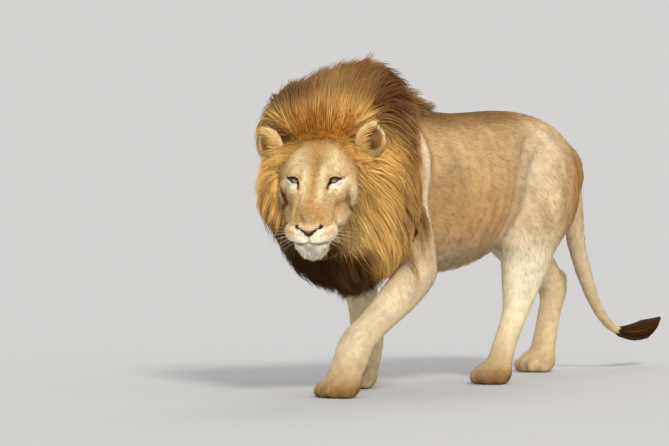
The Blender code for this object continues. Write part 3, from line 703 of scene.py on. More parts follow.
def material(name, roughness, specular, coat=0.0, bump=None, flat=None, lie=(1.0, 1.0, 1.0)):
    """A procedural finish: painted tint, grain in colour and roughness, and bump from noise."""
    m = bpy.data.materials.new(name)
    m.use_nodes = True
    nodes, links = m.node_tree.nodes, m.node_tree.links
    bsdf = nodes["Principled BSDF"]
    bsdf.inputs["Specular IOR Level"].default_value = specular
    bsdf.inputs["Coat Weight"].default_value = coat
    bsdf.inputs["Coat Roughness"].default_value = 0.04

    def node(kind, **values):
        made = nodes.new("ShaderNode" + kind)
        for socket, value in values.items():
            made.inputs[socket.replace("_", " ")].default_value = value
        return made

    place = node("TexCoord").outputs["Object"]
    grain = node("TexNoise", Scale=160, Detail=4)
    links.new(place, grain.inputs["Vector"])
    if flat is None:
        base = node("Attribute")
        base.attribute_name = "tint"
        colour = base.outputs["Color"]
    else:
        base = node("RGB")
        base.outputs[0].default_value = (*flat, 1)
        colour = base.outputs[0]
    shade = node("MapRange", To_Min=0.86, To_Max=1.12)
    links.new(grain.outputs["Fac"], shade.inputs["Value"])
    scale = node("VectorMath")
    scale.operation = "SCALE"
    links.new(colour, scale.inputs[0])
    links.new(shade.outputs[0], scale.inputs["Scale"])
    links.new(scale.outputs[0], bsdf.inputs["Base Color"])
    rough = node("MapRange", To_Min=max(roughness - 0.08, 0.02), To_Max=min(roughness + 0.08, 1))
    links.new(grain.outputs["Fac"], rough.inputs["Value"])
    links.new(rough.outputs[0], bsdf.inputs["Roughness"])
    if bump:
        size, depth = bump
        relief = node("TexNoise", Scale=size, Detail=5)
        along = node("VectorMath")               # the relief is drawn out along the fur's lie
        along.operation = "MULTIPLY"
        along.inputs[1].default_value = lie
        links.new(place, along.inputs[0])
        links.new(along.outputs[0], relief.inputs["Vector"])
        raised = node("Bump", Strength=0.7, Distance=depth)
        links.new(relief.outputs["Fac"], raised.inputs["Height"])
        links.new(raised.outputs[0], bsdf.inputs["Normal"])
    return m


def finish_piece(obj, mat, slot, *replaced):
    obj.data.materials.clear()
    obj.data.materials.append(mat)
    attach(obj, "root")
    if replaced:
        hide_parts(*replaced)


# ---------------------------------------------------------------- eyes and nose


def make_eye(name, s):
    """A ball with a bulging cornea, that looks ahead of the lion's face and a little down; its iris is darker
    above, the upper lid's painted shadow.
    """
    bm = bmesh.new()
    bmesh.ops.create_uvsphere(bm, u_segments=96, v_segments=72, radius=1)
    p = np.array([v.co for v in bm.verts])
    bmesh.ops.triangulate(bm, faces=bm.faces)
    triangles = np.array([[v.index for v in f.verts] for f in bm.faces])
    first = triangles.argmin(1)[:, None]         # a fixed order: triangulate gives another on each run
    triangles = np.unique(np.take_along_axis(triangles, (first + np.arange(3)) % 3, 1), axis=0)
    bm.free()
    a = HEAD_YAW + math.radians(6)
    level = math.cos(GAZE_DOWN)
    gaze = np.array([math.sin(a) * level, -math.cos(a) * level, 0.035 - math.sin(GAZE_DOWN)])
    gaze /= np.linalg.norm(gaze)
    side = unit(np.cross(gaze, [0, 0, 1.0]))
    top = np.cross(side, gaze)
    turn = np.stack([side, top, gaze])
    angle = np.arccos(np.clip(p[:, 2], -1, 1))
    r = EYE_RADIUS * np.sin(angle)
    bulge = 0.0011 * ramp(r, 0.0105, 0.0) * (p[:, 2] > 0)
    points = (p * (EYE_RADIUS - 0.0004 + bulge)[:, None]) @ turn + EYES[s]
    iris = mix(lin(206, 178, 120), lin(124, 90, 50), ramp(r, 0.002, 0.008))
    # painted shadow of the upper lid: the iris darker towards its top
    iris = iris * (0.32 + 0.80 * ramp(p[:, 1], 0.16, -0.20))[:, None]
    spokes = NOISE(np.stack([np.arctan2(p[:, 1], p[:, 0]) * 3.0, r * 60, 0 * r], -1), 0.3, 2) - 0.5
    tint = iris * (1 + 0.5 * spokes)[:, None]
    tint = painted(tint, [
        (lin(12, 9, 7), ramp(r, 0.0024, 0.0019)),
        (lin(40, 24, 12), ramp(r, 0.0086, 0.0098)),
        (lin(66, 48, 36), ramp(r, 0.0105, 0.0125)),
    ])
    tint[p[:, 2] < 0] = lin(66, 48, 36)
    return mesh_of(name, points, triangles, tint)


NOSE_FORMS = [((0.0, -0.180, -0.0795), (0.030, 0.019, 0.0135)),
              ((0.0, -0.187, -0.0885), (0.017, 0.015, 0.0115)),
              *(((0.027 * s, -0.174, -0.0745), (0.0165, 0.0155, 0.0095)) for s in (1, -1))]


def make_nose():
    """The nose pad: a broad heart with a nostril curling up each side."""
    pad = shell("nose_pad", [], VOXEL["nose_pad"], 10, [ellipsoid(*form) for form in NOSE_FORMS])
    q, m = to_head(per_point(pad)), head_ways(per_point(pad, "normal"))
    tree = tree_of(pad)
    lines = {s: snapped(turned(NOSTRIL, s), tree, 0.002) for s in (1, -1)}
    for s in (1, -1):
        q = brushed(q, m, [(lines[s], 0.0030, -0.0050)])
    q = brushed(q, m, [(snapped([(0, -0.200, -0.080), (0, -0.203, -0.097)], tree, 0.002), 0.0016, -0.0014)])
    put_points(pad, from_head(q))
    side = np.abs(q[:, 0])
    tint = np.tile(lin(138, 96, 78), (len(q), 1))
    tint = paint(tint, lin(206, 176, 140), ramp(q[:, 2], -0.083, -0.076) * 0.95)
    thick = 0.0044 + 0.0036 * ramp(q[:, 2], -0.072, -0.084)
    slit = np.maximum(*(np.exp(-((from_segments(q, lines[s])[0] / thick) ** 2)) for s in (1, -1)))
    under = ramp(q[:, 2] - (-0.0985 + 0.76 * side), 0.004, 0.0)
    tint = paint(tint, DARK, np.maximum(np.minimum(slit * 1.5, 1), under))
    put_tint(pad, tint * (0.9 + 0.35 * NOISE(q, 0.003, 2))[:, None])
    return pad


# ---------------------------------------------------------------- floor, light and camera


def make_stage():
    bm = bmesh.new()
    bmesh.ops.create_grid(bm, x_segments=4, y_segments=4, size=STAGE_SIZE)
    mesh = bpy.data.meshes.new("floor")
    bm.to_mesh(mesh)
    bm.free()
    floor = bpy.data.objects.new("floor", mesh)
    bpy.context.scene.collection.objects.link(floor)
    plain = material("floor_plain", 0.9, 0.1, flat=(0.535, 0.541, 0.558), bump=(30, 0.0005))
    floor.data.materials.append(plain)


def add_sun(name, where, spread, strength, colour):
    """A far, soft light that shines from `where` towards the lion, as evenly on the floor as on it."""
    data = bpy.data.lights.new(name, "SUN")
    data.angle, data.energy, data.color = math.radians(spread), strength, colour
    lamp = bpy.data.objects.new(name, data)
    bpy.context.scene.collection.objects.link(lamp)
    lamp.location = where
    lamp.rotation_euler = (Vector((0, -0.3, 0.5)) - Vector(where)).to_track_quat("-Z", "Y").to_euler()


def make_light():
    """A warm high sun from the lion's left front, a wide low fill, a rim light behind, and a pale sky."""
    add_sun("key", (3.8, -3.4, 4.0), 12, 2.2, (1.0, 0.95, 0.86))
    add_sun("fill", (2.4, -4.0, 0.9), 60, 0.45, (1.0, 0.96, 0.88))
    add_sun("rim", (-1.5, 4.0, 3.4), 30, 0.7, (1.0, 0.97, 0.92))
    world = bpy.data.worlds.new("studio")
    world.use_nodes = True
    world.node_tree.nodes["Background"].inputs["Color"].default_value = (0.97, 0.96, 0.94, 1)
    world.node_tree.nodes["Background"].inputs["Strength"].default_value = 0.68
    bpy.context.scene.world = world
    bpy.context.scene.view_settings.view_transform = "Standard"


def make_camera():
    """A long lens, low in front of the lion's left."""
    azimuth, tilt, distance = math.radians(33), math.radians(2), 20.0
    back = Vector((math.sin(azimuth) * math.cos(tilt), -math.cos(azimuth) * math.cos(tilt), math.sin(tilt)))
    right = Vector((math.cos(azimuth), math.sin(azimuth), 0))
    up = back.cross(right)
    middle = Vector(SHIFT) + Vector((0, 0, 0.5))
    data = bpy.data.cameras.new("camera")
    data.lens, data.sensor_width, data.clip_end = 339.0, 36.0, 4000
    aside, above = -0.36984, 0.00952             # where the middle of the view lies from the lion's
    camera = bpy.data.objects.new("camera", data)
    bpy.context.scene.collection.objects.link(camera)
    camera.location = middle + back * distance
    aim = middle + right * aside + up * above
    camera.rotation_euler = (aim - camera.location).to_track_quat("-Z", "Y").to_euler()
    bpy.context.scene.camera = camera


# ---------------------------------------------------------------- hair


def strand_mesh(paths, widths, outward, flat=0.55, profile=None):
    """Closed three-sided tapering strands: their points, one strand's triangles, and each point's facing."""
    n, k, _ = paths.shape
    tangent = unit(np.gradient(paths, axis=1))
    side = unit(np.cross(tangent, outward[:, None, :]))
    top = np.cross(side, tangent)
    t = np.linspace(0, 1, k)
    taper = np.array(profile or np.interp(t, [0, 0.25, 0.7, 0.999], [0.75, 1.0, 0.72, 0.0]))
    a = np.radians([90, 210, 330])[:, None]
    w = widths[:, None, None, None] * taper[None, :-1, None, None] / 2
    across, up = side[:, :-1, None] * np.cos(a), top[:, :-1, None]
    p = paths[:, :-1, None] + w * (across + flat * up * np.sin(a))
    p = np.concatenate([p.reshape(n, -1, 3), paths[:, -1:]], axis=1)
    face = across + up * np.sin(a)
    face = np.concatenate([face.reshape(n, -1, 3), top[:, -1:]], axis=1)
    tri, m = [(0, 1, 2)], k - 1
    for i in range(m - 1):
        for j in range(3):
            u, v = 3 * i + j, 3 * i + (j + 1) % 3
            tri += [(u, v + 3, v), (u, u + 3, v + 3)]
    tri += [(3 * m - 3 + j, 3 * m, 3 * m - 3 + (j + 1) % 3) for j in range(3)]
    tri = np.array(tri)
    c = (p[0] - p[0].mean(0))[tri]
    if np.einsum("ij,ij->", c[:, 0], np.cross(c[:, 1], c[:, 2])) < 0:      # inside out
        tri = tri[:, ::-1]
    return p, tri, face


def every_strand(triangles, n, k):
    """The triangles of n strands of k points, from those of one."""
    return (triangles[None] + (np.arange(n) * k)[:, None, None]).reshape(-1, 3)


def scatter(form, count, rng, density=None):
    """Random places on (points, triangles), by area and density: (places, outward directions)."""
    points, triangles = form
    c = points[triangles]
    cross = np.cross(c[:, 1] - c[:, 0], c[:, 2] - c[:, 0])
    area = np.linalg.norm(cross, axis=1)
    weight = area * (density(c.mean(1), unit(cross)) if density else 1)
    pick = rng.choice(len(area), count, p=weight / weight.sum())
    a, b = rng.random((2, count, 1))
    flip = a + b > 1
    a, b = np.where(flip, 1 - a, a), np.where(flip, 1 - b, b)
    p = c[pick, 0] + a * (c[pick, 1] - c[pick, 0]) + b * (c[pick, 2] - c[pick, 0])
    return p, unit(cross[pick])


def flatten(v, n):
    """v without its part along n, at length 1."""
    return unit(v - n * np.sum(v * n, axis=-1, keepdims=True))


def put_strands(name, points, triangles, tint, uv, out, face, own_share):
    """One mesh of many strands, with each strand's patch in the map OFBake.

    Fur scatters light as one soft surface, so a strand shades mostly with the skin it grows from."""
    n, k, _ = points.shape
    step = np.arange(k)
    patch = np.stack([(step // 3) / max(k // 3, 1) - 0.5, (step % 3) / 3 - 0.33], -1) * PATCH
    uvs = (uv[:, None] + patch[None]).reshape(-1, 2)
    normals = unit(out[:, None] * (1 - own_share) + face * own_share)
    return mesh_of(name, points.reshape(-1, 3), every_strand(triangles, n, k), tint.reshape(-1, 3), uvs,
                   normals.reshape(-1, 3))


def put_pieces(name, order, points, triangles, tint, uv, out, face, own_share):
    """Strands, taken in order, as name_1 and on, each within what a piece of coat may hold."""
    parts = np.array_split(order, math.ceil(len(order) * len(triangles) / PIECE_TRIANGLES))
    return [put_strands(f"{name}_{i}", points[at], triangles, tint[at], uv[at], out[at], face[at], own_share)
            for i, at in enumerate(parts, 1)]


class Unwrap:
    """An unwrap of the skin's own shape, and each place's spot on it."""

    def __init__(self, *skins):
        rough = mesh_of("unwrap", *joined(map(form_of, skins)))
        thin = rough.modifiers.new("Decimate", "DECIMATE")
        thin.ratio = 0.04
        apply_modifiers(rough)
        bpy.context.view_layer.objects.active = rough
        rough.select_set(True)
        bpy.ops.object.mode_set(mode="EDIT")
        bpy.ops.mesh.select_all(action="SELECT")
        bpy.ops.uv.smart_project(angle_limit=math.radians(66), island_margin=0.004)
        bpy.ops.object.mode_set(mode="OBJECT")
        mesh = rough.data
        points, corners = form_of(rough)
        loops, uv = np.empty(corners.size, np.int32), np.empty(len(mesh.loops) * 2)
        mesh.loop_triangles.foreach_get("loops", loops)
        mesh.uv_layers.active.data.foreach_get("uv", uv)
        self.uv = uv.reshape(-1, 2)[loops].reshape(-1, 3, 2)
        self.corner = points[corners]
        self.tree = tree_of(rough)
        bpy.data.objects.remove(rough)

    def __call__(self, places):
        at, _, face, _ = nearest(self.tree, places)
        a, b, c = (self.corner[face, i] for i in range(3))
        v0, v1, v2 = b - a, c - a, at - a
        d00, d01, d11 = (np.sum(i * j, 1) for i, j in ((v0, v0), (v0, v1), (v1, v1)))
        d20, d21 = np.sum(v2 * v0, 1), np.sum(v2 * v1, 1)
        den = np.maximum(d00 * d11 - d01 * d01, 1e-14)
        s, t = (d11 * d20 - d01 * d21) / den, (d00 * d21 - d01 * d20) / den
        w = np.clip(np.stack([1 - s - t, s, t], -1), 0, 1)
        return np.sum(self.uv[face] * (w / w.sum(1, keepdims=True))[:, :, None], axis=1)


# ---------------------------------------------------------------- mane

EAR_AT = {1: head(0.154, 0.105, 0.078), -1: head(-0.154, 0.105, 0.062)}
EAR_LEAN = {1: 26, -1: -44}                      # degrees outward
EAR_WIDE, EAR_TALL = 0.049, 0.053               # half the width and height of an ear's cup
CORE_HEAD = np.array([0.0, 0.0, 0.015])
DOWN = np.array([0.0, 0.0, -1.0])


def mane_flow(p):
    """Which way the mane lies: out from the face, then back and down, least on the crown."""
    q = to_head(p) - CORE_HEAD
    r = unit(np.stack([q[:, 0], 0 * q[:, 0], q[:, 2]], -1) + 1e-6)
    top = ramp(r[:, 2], 0.25, 0.9)
    front = ramp(q[:, 1], 0.20, 0.05)
    hang = 1.05 - 0.95 * top
    back = 0.55 + 0.55 * top
    out = r @ HEAD_AXES
    flow = out * (0.35 + 0.95 * front)[:, None] + HY * (back * (1 - 0.3 * front))[:, None]
    flow = flow + DOWN * hang[:, None]
    w = own(p)
    late = ramp(w[:, 1], -0.62, -0.48)[:, None]
    high = ramp(w[:, 2], 0.80, 0.90)[:, None]
    rear = np.array([0.0, 0.22, -1.0]) * (1 - high) + np.array([0.0, 1.0, -0.42]) * high
    return unit(flow) * (1 - late) + unit(rear) * late


def mane_tint(p, t, lock):
    """The mane's colours: gold round the face, brighter gold as painted light where it lies in shade, dark on
    the crown, behind the left ear and below the chin, where the dark is partly painted shade.
    """
    q = to_head(p)
    x, y, z = q.T
    rise = z - CORE_HEAD[2]
    side = np.abs(x)
    patch = NOISE(p, 0.07, 2) - 0.5
    fine = lock - 0.5
    tint = np.tile(GOLD, (len(q), 1))
    amber = ramp(rise, 0.03, 0.09) * ramp(y + 0.04 * fine, 0.23, 0.13) * ramp(side, 0.18, 0.07)
    tint = painted(tint, [
        (AMBER, amber * 0.92),
        # painted shadow at the hairline above the forehead
        (RUST, near(np.stack([x, y, z], -1), (-0.012, 0.088, 0.092), 0.030) * 0.7),
        (lin(150, 104, 54), ramp(y + 0.05 * patch, 0.09, 0.19) * ramp(rise, 0.06, -0.04) * 0.75),
    ])
    crown = ramp(y + 0.05 * patch + 0.05 * fine, 0.165, 0.235) * ramp(rise, 0.02, 0.10)
    tint = painted(tint, [
        (CROWN, crown * 0.90),
        (lin(176, 136, 84), crown * hump(x - 0.015, 0.0, 0.045) * ramp(y, 0.40, 0.26) * 0.65),
        (lin(84, 60, 46), near(q * [1, 1, 1], (-0.125, 0.225, 0.155), 0.075) * 0.75),
    ])
    band = ramp(x + 0.03 * patch, 0.13, 0.18) * ramp(y, 0.13, 0.19) * ramp(rise, -0.07, 0.02)
    tint = paint(tint, lin(96, 58, 34), band * 0.80)
    streak = ramp(x, 0.19, 0.25) * ramp(rise, 0.02, -0.06) * ramp(fine, 0.10, 0.30)
    tint = painted(tint, [
        (UMBER, streak * 0.75),
        (lin(104, 80, 54), near(q, (0.262, 0.10, -0.200), 0.050) * 0.7),
        # painted light: brighter gold under the left cheek and on the right side, where the mane lies in shade
        (lin(250, 206, 134), near(q, (0.100, -0.020, -0.195), 0.080) * 0.85),
        (lin(250, 196, 116), near(q, (-0.150, 0.060, -0.080), 0.110) * 0.6),
        (lin(178, 124, 60), near(q, (0.275, 0.120, -0.080), 0.075) * 0.6),
    ])
    mine = own(p)
    tint = paint(tint, lin(104, 76, 48), ramp(mine[:, 1], -0.38, -0.28) * ramp(mine[:, 2], 0.80, 0.84) * 0.8)
    # darker below the chin and low on the chest: partly the mane's own dark hair there, partly painted shade
    low = ramp(rise + 0.02 * fine, -0.238, -0.280) * ramp(side, 0.20, 0.13)
    tint = paint(tint, UMBER, low * 0.95)
    beard = ramp(rise + 0.02 * fine, -0.165, -0.215) * ramp(x, 0.055, 0.005) * ramp(y, 0.16, 0.06)
    jowl = ramp(z, -0.160, -0.185) * ramp(y, -0.030, -0.065) * ramp(x, 0.110, 0.075)
    tint = paint(tint, UMBER, np.maximum(beard, jowl) * 0.92)
    fair = ramp(lock, 0.72, 1.0) * (1 - crown) * (1 - low) * (1 - 0.8 * amber)
    tint = paint(tint, lin(232, 192, 124), fair * 0.45)
    shade = 0.80 + 0.22 * ramp(t, 0.0, 0.40) + 0.08 * ramp(t, 0.6, 1.0)
    return tint * (shade * (1 + 0.42 * fine + 0.30 * patch))[:, None]


def mane_guides(core, count, rng, mane, others):
    """Centre lines of the mane's locks, from the under-wool out to the CAD form."""
    roots = undrawn(scatter(core, int(count * 1.5), rng)[0])
    at, out, _, _ = nearest(mane, roots)
    *_, gap = nearest(others, at)
    keep = gap > 0.006
    roots, at, out = roots[keep], at[keep], out[keep]
    q = to_head(roots)
    rise = q[:, 2] - CORE_HEAD[2]
    length = 0.125 + 0.055 * ramp(rise, 0.05, 0.2) + 0.03 * ramp(rise, -0.05, -0.2)
    length -= 0.03 * ramp(q[:, 1], 0.28, 0.42)
    mine = own(roots)
    length *= rng.uniform(0.8, 1.15, len(roots)) * (1 - 0.35 * ramp(mine[:, 1], -0.58, -0.46))
    length *= 1 + 0.9 * near(mine, (0.19, -0.54, 0.52), 0.09)
    depth0 = np.sum((roots - at) * out, 1)       # a lock goes from here under the form to its tip's height
    at0, out0 = at, out
    tip = -0.005 + 0.014 * rng.standard_normal(len(roots)).clip(-1.6, 1.3)
    steps = 8
    path, here = [roots], roots
    lean = (NOISE(roots, 0.12, 2) - 0.5) * 1.5 + rng.normal(0, 0.13, len(roots))
    for k in range(1, steps + 1):
        t = k / steps
        flow = flatten(mane_flow(here), out)
        across = np.cross(out, flow)
        sway = lean * 0.50 + 0.14 * np.sin(t * 5.0 + lean * 9)
        step = unit(flow + across * sway[:, None]) * (length / steps)[:, None]
        there = here + step
        at, normal, _, _ = nearest(mane, there)
        body_at, body_out, _, near_body = nearest(others, there)
        depth = depth0 + (tip - depth0) * min(1.0, t * 1.25) ** 0.8
        there = at + normal * depth[:, None]
        under = np.sum((there - body_at) * body_out, 1)
        over = (near_body < 0.05) & (under < OFF_BODY)
        there = np.where(over[:, None], here + flatten(step, body_out) * (length / steps)[:, None], there)
        lift = np.sum((there - body_at) * body_out, 1)
        there = there + body_out * np.where(over, np.maximum(ON_BODY - lift, 0), 0)[:, None]
        out = np.where(over[:, None], body_out, normal)
        here = there
        path.append(here)
    path = np.stack(path, 1)
    t = np.linspace(0, 1, steps + 1)[:, None]
    withers = (mine[:, 1] > -0.42) & (mine[:, 2] > 0.79) & (np.abs(mine[:, 0]) < 0.12)
    for i in np.flatnonzero(withers):            # the last locks lie straight back, on the trunk
        reach = np.clip(-0.09 - mine[i, 1], 0.035, 0.10) * rng.uniform(0.8, 1.0)
        depth = depth0[i] + (tip[i] - depth0[i]) * np.minimum(1.0, t * 1.25) ** 0.8
        line = at0[i] + out0[i] * depth + np.array([rng.normal(0, 0.10), 1.0, -0.35]) * reach * t
        for k in range(steps + 1):
            hit = others.ray_cast(Vector((*line[k, :2], 1.3)), Vector(DOWN))
            if k and hit[0] is not None:
                line[k, 2] = max(line[k, 2], hit[0].z + 0.004)
        path[i] = line
    path = drawn(path.reshape(-1, 3)).reshape(path.shape)
    hang = near(mine * [1, 1, 0.4], (0.05, -0.60, 0.4 * 0.36), 0.12) * ramp(mine[:, 2], 0.50, 0.38)
    path[:, :, 2] -= (0.075 * hang * rng.uniform(0.6, 1.1, len(roots)))[:, None] * t.T**1.5
    for s, radius in ((1, 0.037), (-1, 0.030)):
        clear = clear_of_ear(path, s, radius)
        path, roots = path[clear], roots[clear]
    return path[:count], roots[:count]


def clear_of_ear(paths, s, radius):
    """Which strands keep out of an ear's cup."""
    keep_off = EAR_AT[s] - HY * 0.012 + HZ * 0.010 + HX * (0.010 if s > 0 else -0.022)
    return np.linalg.norm(paths - keep_off, axis=2).min(1) > radius


def along_strand(rings):
    """How far along its strand each point of strand_mesh lies, 0 to 1."""
    return np.append(np.repeat(np.linspace(0, 1, rings)[:-1], 3), 1.0)


def strand_tint(points, rings, lock, start=0.0):
    """The mane's colours on strands that start this far along their lock."""
    n, k, _ = points.shape
    along = np.tile(along_strand(rings) * (1 - start) + start, n)
    return mane_tint(points.reshape(-1, 3), along, np.repeat(lock, k)).reshape(points.shape)


def make_mane(core, unwrap, mane, others, guides=3480, hairs=10, rings=5):
    """Locks of some ten hairs round each guide, closer together towards the tip."""
    rng = np.random.default_rng(11)
    path, roots = mane_guides(core, guides, rng, mane, others)
    n, k, _ = path.shape
    _, out, _, _ = nearest(mane, roots)
    lock = rng.random(n)
    tangent = unit(np.gradient(path, axis=1))
    across = unit(np.cross(tangent, out[:, None]))
    top = np.cross(across, tangent)
    t = np.linspace(0, 1, k)
    pieces = []
    for _ in range(hairs):
        a = rng.uniform(0, 2 * np.pi, n)
        r = LOCK_RADIUS * np.sqrt(rng.random(n))
        close = 1 - rng.uniform(0.10, 0.65, n)[:, None] * t[None] ** 1.3
        turns, phase = rng.uniform(5, 11, n)[:, None], rng.uniform(0, 6.3, n)[:, None]
        wave = 0.0026 * np.sin(t[None] * turns + phase) * t[None]
        u = (r * np.cos(a))[:, None] * close + wave
        v = (0.6 * r * np.sin(a))[:, None] * close + rng.normal(0, 0.003, n)[:, None] * t[None]
        line = path + across * u[:, :, None] + top * v[:, :, None]
        part = rng.uniform(0.72, 1.0, n)         # how much of the guide a hair follows
        at = np.linspace(0, 1, rings)[None] * part[:, None] * (k - 1)
        i = np.minimum(at.astype(int), k - 2)
        f = (at - i)[:, :, None]
        row = np.arange(n)[:, None]
        line = line[row, i] * (1 - f) + line[row, i + 1] * f
        width = rng.uniform(*HAIR_WIDTHS, n)
        pieces.append((line, width, np.clip(lock + rng.normal(0, 0.25, n), -0.3, 1.3)))
    line, width, shade = (np.concatenate([a[i] for a in pieces]) for i in range(3))
    out = np.tile(out, (hairs, 1))
    points, tri, face = strand_mesh(line, width, out)
    q = to_head(line[:, 0])
    order = np.argsort(np.arctan2(q[:, 0], q[:, 2]), kind="stable")        # round the head
    tint = strand_tint(points, rings, shade)
    return put_pieces("mane_locks", order, points, tri, tint, unwrap(line[:, 0]), out, face, 0.32)


def make_wisps(unwrap, others, count=260):
    """Stray hairs: kind 0 stands above the crown as a wisp, 1 lies behind it, 2 goes back over the withers."""
    rng = np.random.default_rng(17)
    t = np.linspace(0, 1, 6)[None]
    kind = np.repeat([0, 1, 2], [34, 42, count - 76])
    base = np.array([[0.035, -0.600, 0.978], [0.0, -0.66, 0.955], [0.030, -0.34, 0.90]])[kind]
    spread = np.array([[0.003, 0.003, 0.003], [0.075, 0.045, 0.0], [0.024, 0.060, 0.0]])[kind]
    base = base + rng.normal(0, 1, (count, 3)) * spread
    base[:, 2] -= np.where(kind == 1, 2.2 * base[:, 0] ** 2, 0)
    for i in np.flatnonzero(kind == 2):
        hit = others.ray_cast(Vector(base[i] + SHIFT + [0, 0, 0.3]), Vector(DOWN))
        base[i, 2] = (hit[0].z if hit[0] is not None else base[i, 2]) - 0.002
    length = np.array([0.104, 0.062, 0.080])[kind] * rng.uniform(0.72, 1.0, count)
    way = np.array([[0.48, 0.34, 0.85], [0.1, 0.45, 0.8], [0.10, 1.0, 0.16]])[kind]
    way = unit(way + rng.normal(0, 0.06, (count, 3)))
    line = base[:, None] + way[:, None] * (length[:, None] * t)[:, :, None] + SHIFT
    bend = np.array([[0.10, 0.10, 0.0], [0.16, 0.20, 0.0], [0.0, 0.0, -0.32]])[kind]
    line = line + bend[:, None] * (length[:, None] * t**2 * 0.5)[:, :, None]
    out = np.tile(unit(np.array([0.1, -0.5, 0.9])), (count, 1))
    points, tri, face = strand_mesh(line, rng.uniform(0.0016, 0.0026, count), out)
    tint = np.array([lin(150, 96, 52), lin(150, 100, 62), lin(98, 70, 42)])[kind]
    tint = tint[:, None] * np.ones((1, points.shape[1], 1)) * rng.uniform(0.7, 1.2, (count, 1, 1))
    return put_strands("crown_wisps", points, tri, tint, unwrap(line[:, 0]), out, face, 0.5)


def make_ear_locks(face_tree, unwrap):
    """Hair that grows in front of each ear and lies across its inner part, most over the right one."""
    rng = np.random.default_rng(47)
    made, locks, outs = [], [], []
    sides = ((1, 420, -0.030, 0.115, 0.060, 0.12), (-1, 900, -0.035, 0.165, 0.098, -0.12))
    for s, count, low, high, reach, rise in sides:
        ear = tree_of(NODES["ear_left" if s > 0 else "ear_right"])
        start = from_head(np.stack([rng.normal(0.094 * s, 0.010, count), rng.normal(0.070, 0.008, count),
                                    rng.uniform(low, high, count)], -1))
        at, out, _, _ = nearest(face_tree, start)
        q = to_head(at - out * 0.001)
        t = np.linspace(0, 1, 7)[None]
        far = (reach * rng.uniform(0.75, 1.15, count) * (1 + 0.45 * ramp(q[:, 2], 0.05, 0.11)))[:, None] * t
        fan = rise + 3.5 * (q[:, 2] - 0.045) + rng.normal(0, 0.14, count)
        x = q[:, :1] + s * far
        z = q[:, 2:] + fan[:, None] * far - 4.0 * far**2
        z = z + 0.002 * np.sin(5 * t + rng.uniform(0, 6, (count, 1)))
        y = q[:, 1:2] + (0.085 - q[:, 1:2]) * ramp(t, 0.0, 0.5)
        over = rng.uniform(0.003, 0.012, count)
        for i in range(count):
            for k in range(1, 7):
                place = HEAD_AT + HX * x[i, k] + HY * (y[i, k] - 0.12) + HZ * z[i, k]
                hit = ear.ray_cast(Vector(place), Vector(HY), 0.20)
                if hit[0] is not None:
                    y[i, k] = min(y[i, k], y[i, k] - 0.12 + hit[3] - over[i])
        for _ in range(2):
            y[:, 1:-1] = np.minimum(y[:, 1:-1], (y[:, :-2] + 2 * y[:, 1:-1] + y[:, 2:]) / 4)
        made.append(from_head(np.stack([x, y, z], -1)))
        locks.append(rng.random(count))
        outs.append(np.tile(unit(-HY + 0.4 * s * HX + 0.3 * HZ), (count, 1)))
    line, lock, out = np.concatenate(made), np.concatenate(locks), np.concatenate(outs)
    points, tri, face = strand_mesh(line, rng.uniform(0.0016, 0.0028, len(line)), out)
    tint = strand_tint(points, 7, lock)
    return put_strands("ear_locks", points, tri, tint, unwrap(line[:, 0]), out, face, 0.32)


# ---------------------------------------------------------------- short coat

TAIL = [(0, 0.560, 0.750), (0, 0.650, 0.712), (0, 0.708, 0.636), (0, 0.732, 0.540), (0.001, 0.748, 0.430),
        (0.006, 0.798, 0.310), (0.012, 0.856, 0.215), (0.019, 0.928, 0.148), (0.025, 1.000, 0.120),
        (0.036, 1.105, 0.122), (0.049, 1.205, 0.162)]


def coat_lie(p):
    """Which way the short coat lies: back along the trunk, down the legs, over the paws, along the tail."""
    q = own(p)
    x, y, z = q.T
    lie = np.tile([0.0, 1.0, -0.35], (len(q), 1))
    leg = ramp(z, 0.56, 0.42)
    hind = ramp(y, 0.12, 0.24)
    lie = mix(lie, np.array([0.0, 0.25, -1.0]), leg)
    haunch = hind * ramp(z, 0.76, 0.56) * ramp(np.abs(x), 0.05, 0.10)
    lie = mix(lie, np.array([0.0, 0.45, -1.0]), haunch)
    lie = mix(lie, np.array([0.0, 0.1, -1.0]), ramp(y, 0.52, 0.60) * ramp(z, 0.80, 0.70))
    lie = mix(lie, np.array([0.0, -1.0, -0.45]), ramp(z, 0.115, 0.07))
    d, along = from_segments(q, TAIL)
    path = np.array(TAIL)
    way = unit(np.diff(path, axis=0))[np.minimum((along * (len(path) - 1)).astype(int), len(path) - 2)]
    tail = (d < 0.05) & (y > 0.60) & (np.abs(x) < 0.055)
    return np.where(tail[:, None], way, lie)


def tufts(roots, normals, lie, length, width, lift, rng, bend=0.5):
    """Paths of short tufts: rising from the skin, then lying down along it."""
    lie = flatten(unit(lie) + rng.normal(0, 0.06, lie.shape), normals)
    t = np.array([0.0, 0.45, 1.0])
    rise = (lift[:, None] * (t - bend * t * t)[None]) * length[:, None]
    run = t[None] * length[:, None]
    paths = (roots - normals * 0.0002)[:, None] + lie[:, None] * run[:, :, None]
    paths = paths + normals[:, None] * rise[:, :, None]
    return strand_mesh(paths, width, normals, flat=0.35, profile=[0.8, 1.0, 0.0])


def face_lie(p):
    """The face's fur runs from the nose out over the bridge, cheeks, lips and chin."""
    q = to_head(p)
    v = unit(q - np.array([0.0, -0.190, -0.082]))
    v = v + np.array([0.0, 0.0, 0.35]) * ramp(q[:, 2], -0.05, 0.02)[:, None]
    v = v + np.array([0.0, 0.25, -0.5]) * ramp(q[:, 2], -0.115, -0.14)[:, None]
    return v @ HEAD_AXES


def border(q):
    """How far behind the face's edge, towards the mane, a point of the head's frame lies."""
    n = np.array([0.0, 1.0, -0.58])
    return (q - np.array([0.0, 0.064, 0.0])) @ (n / np.linalg.norm(n))


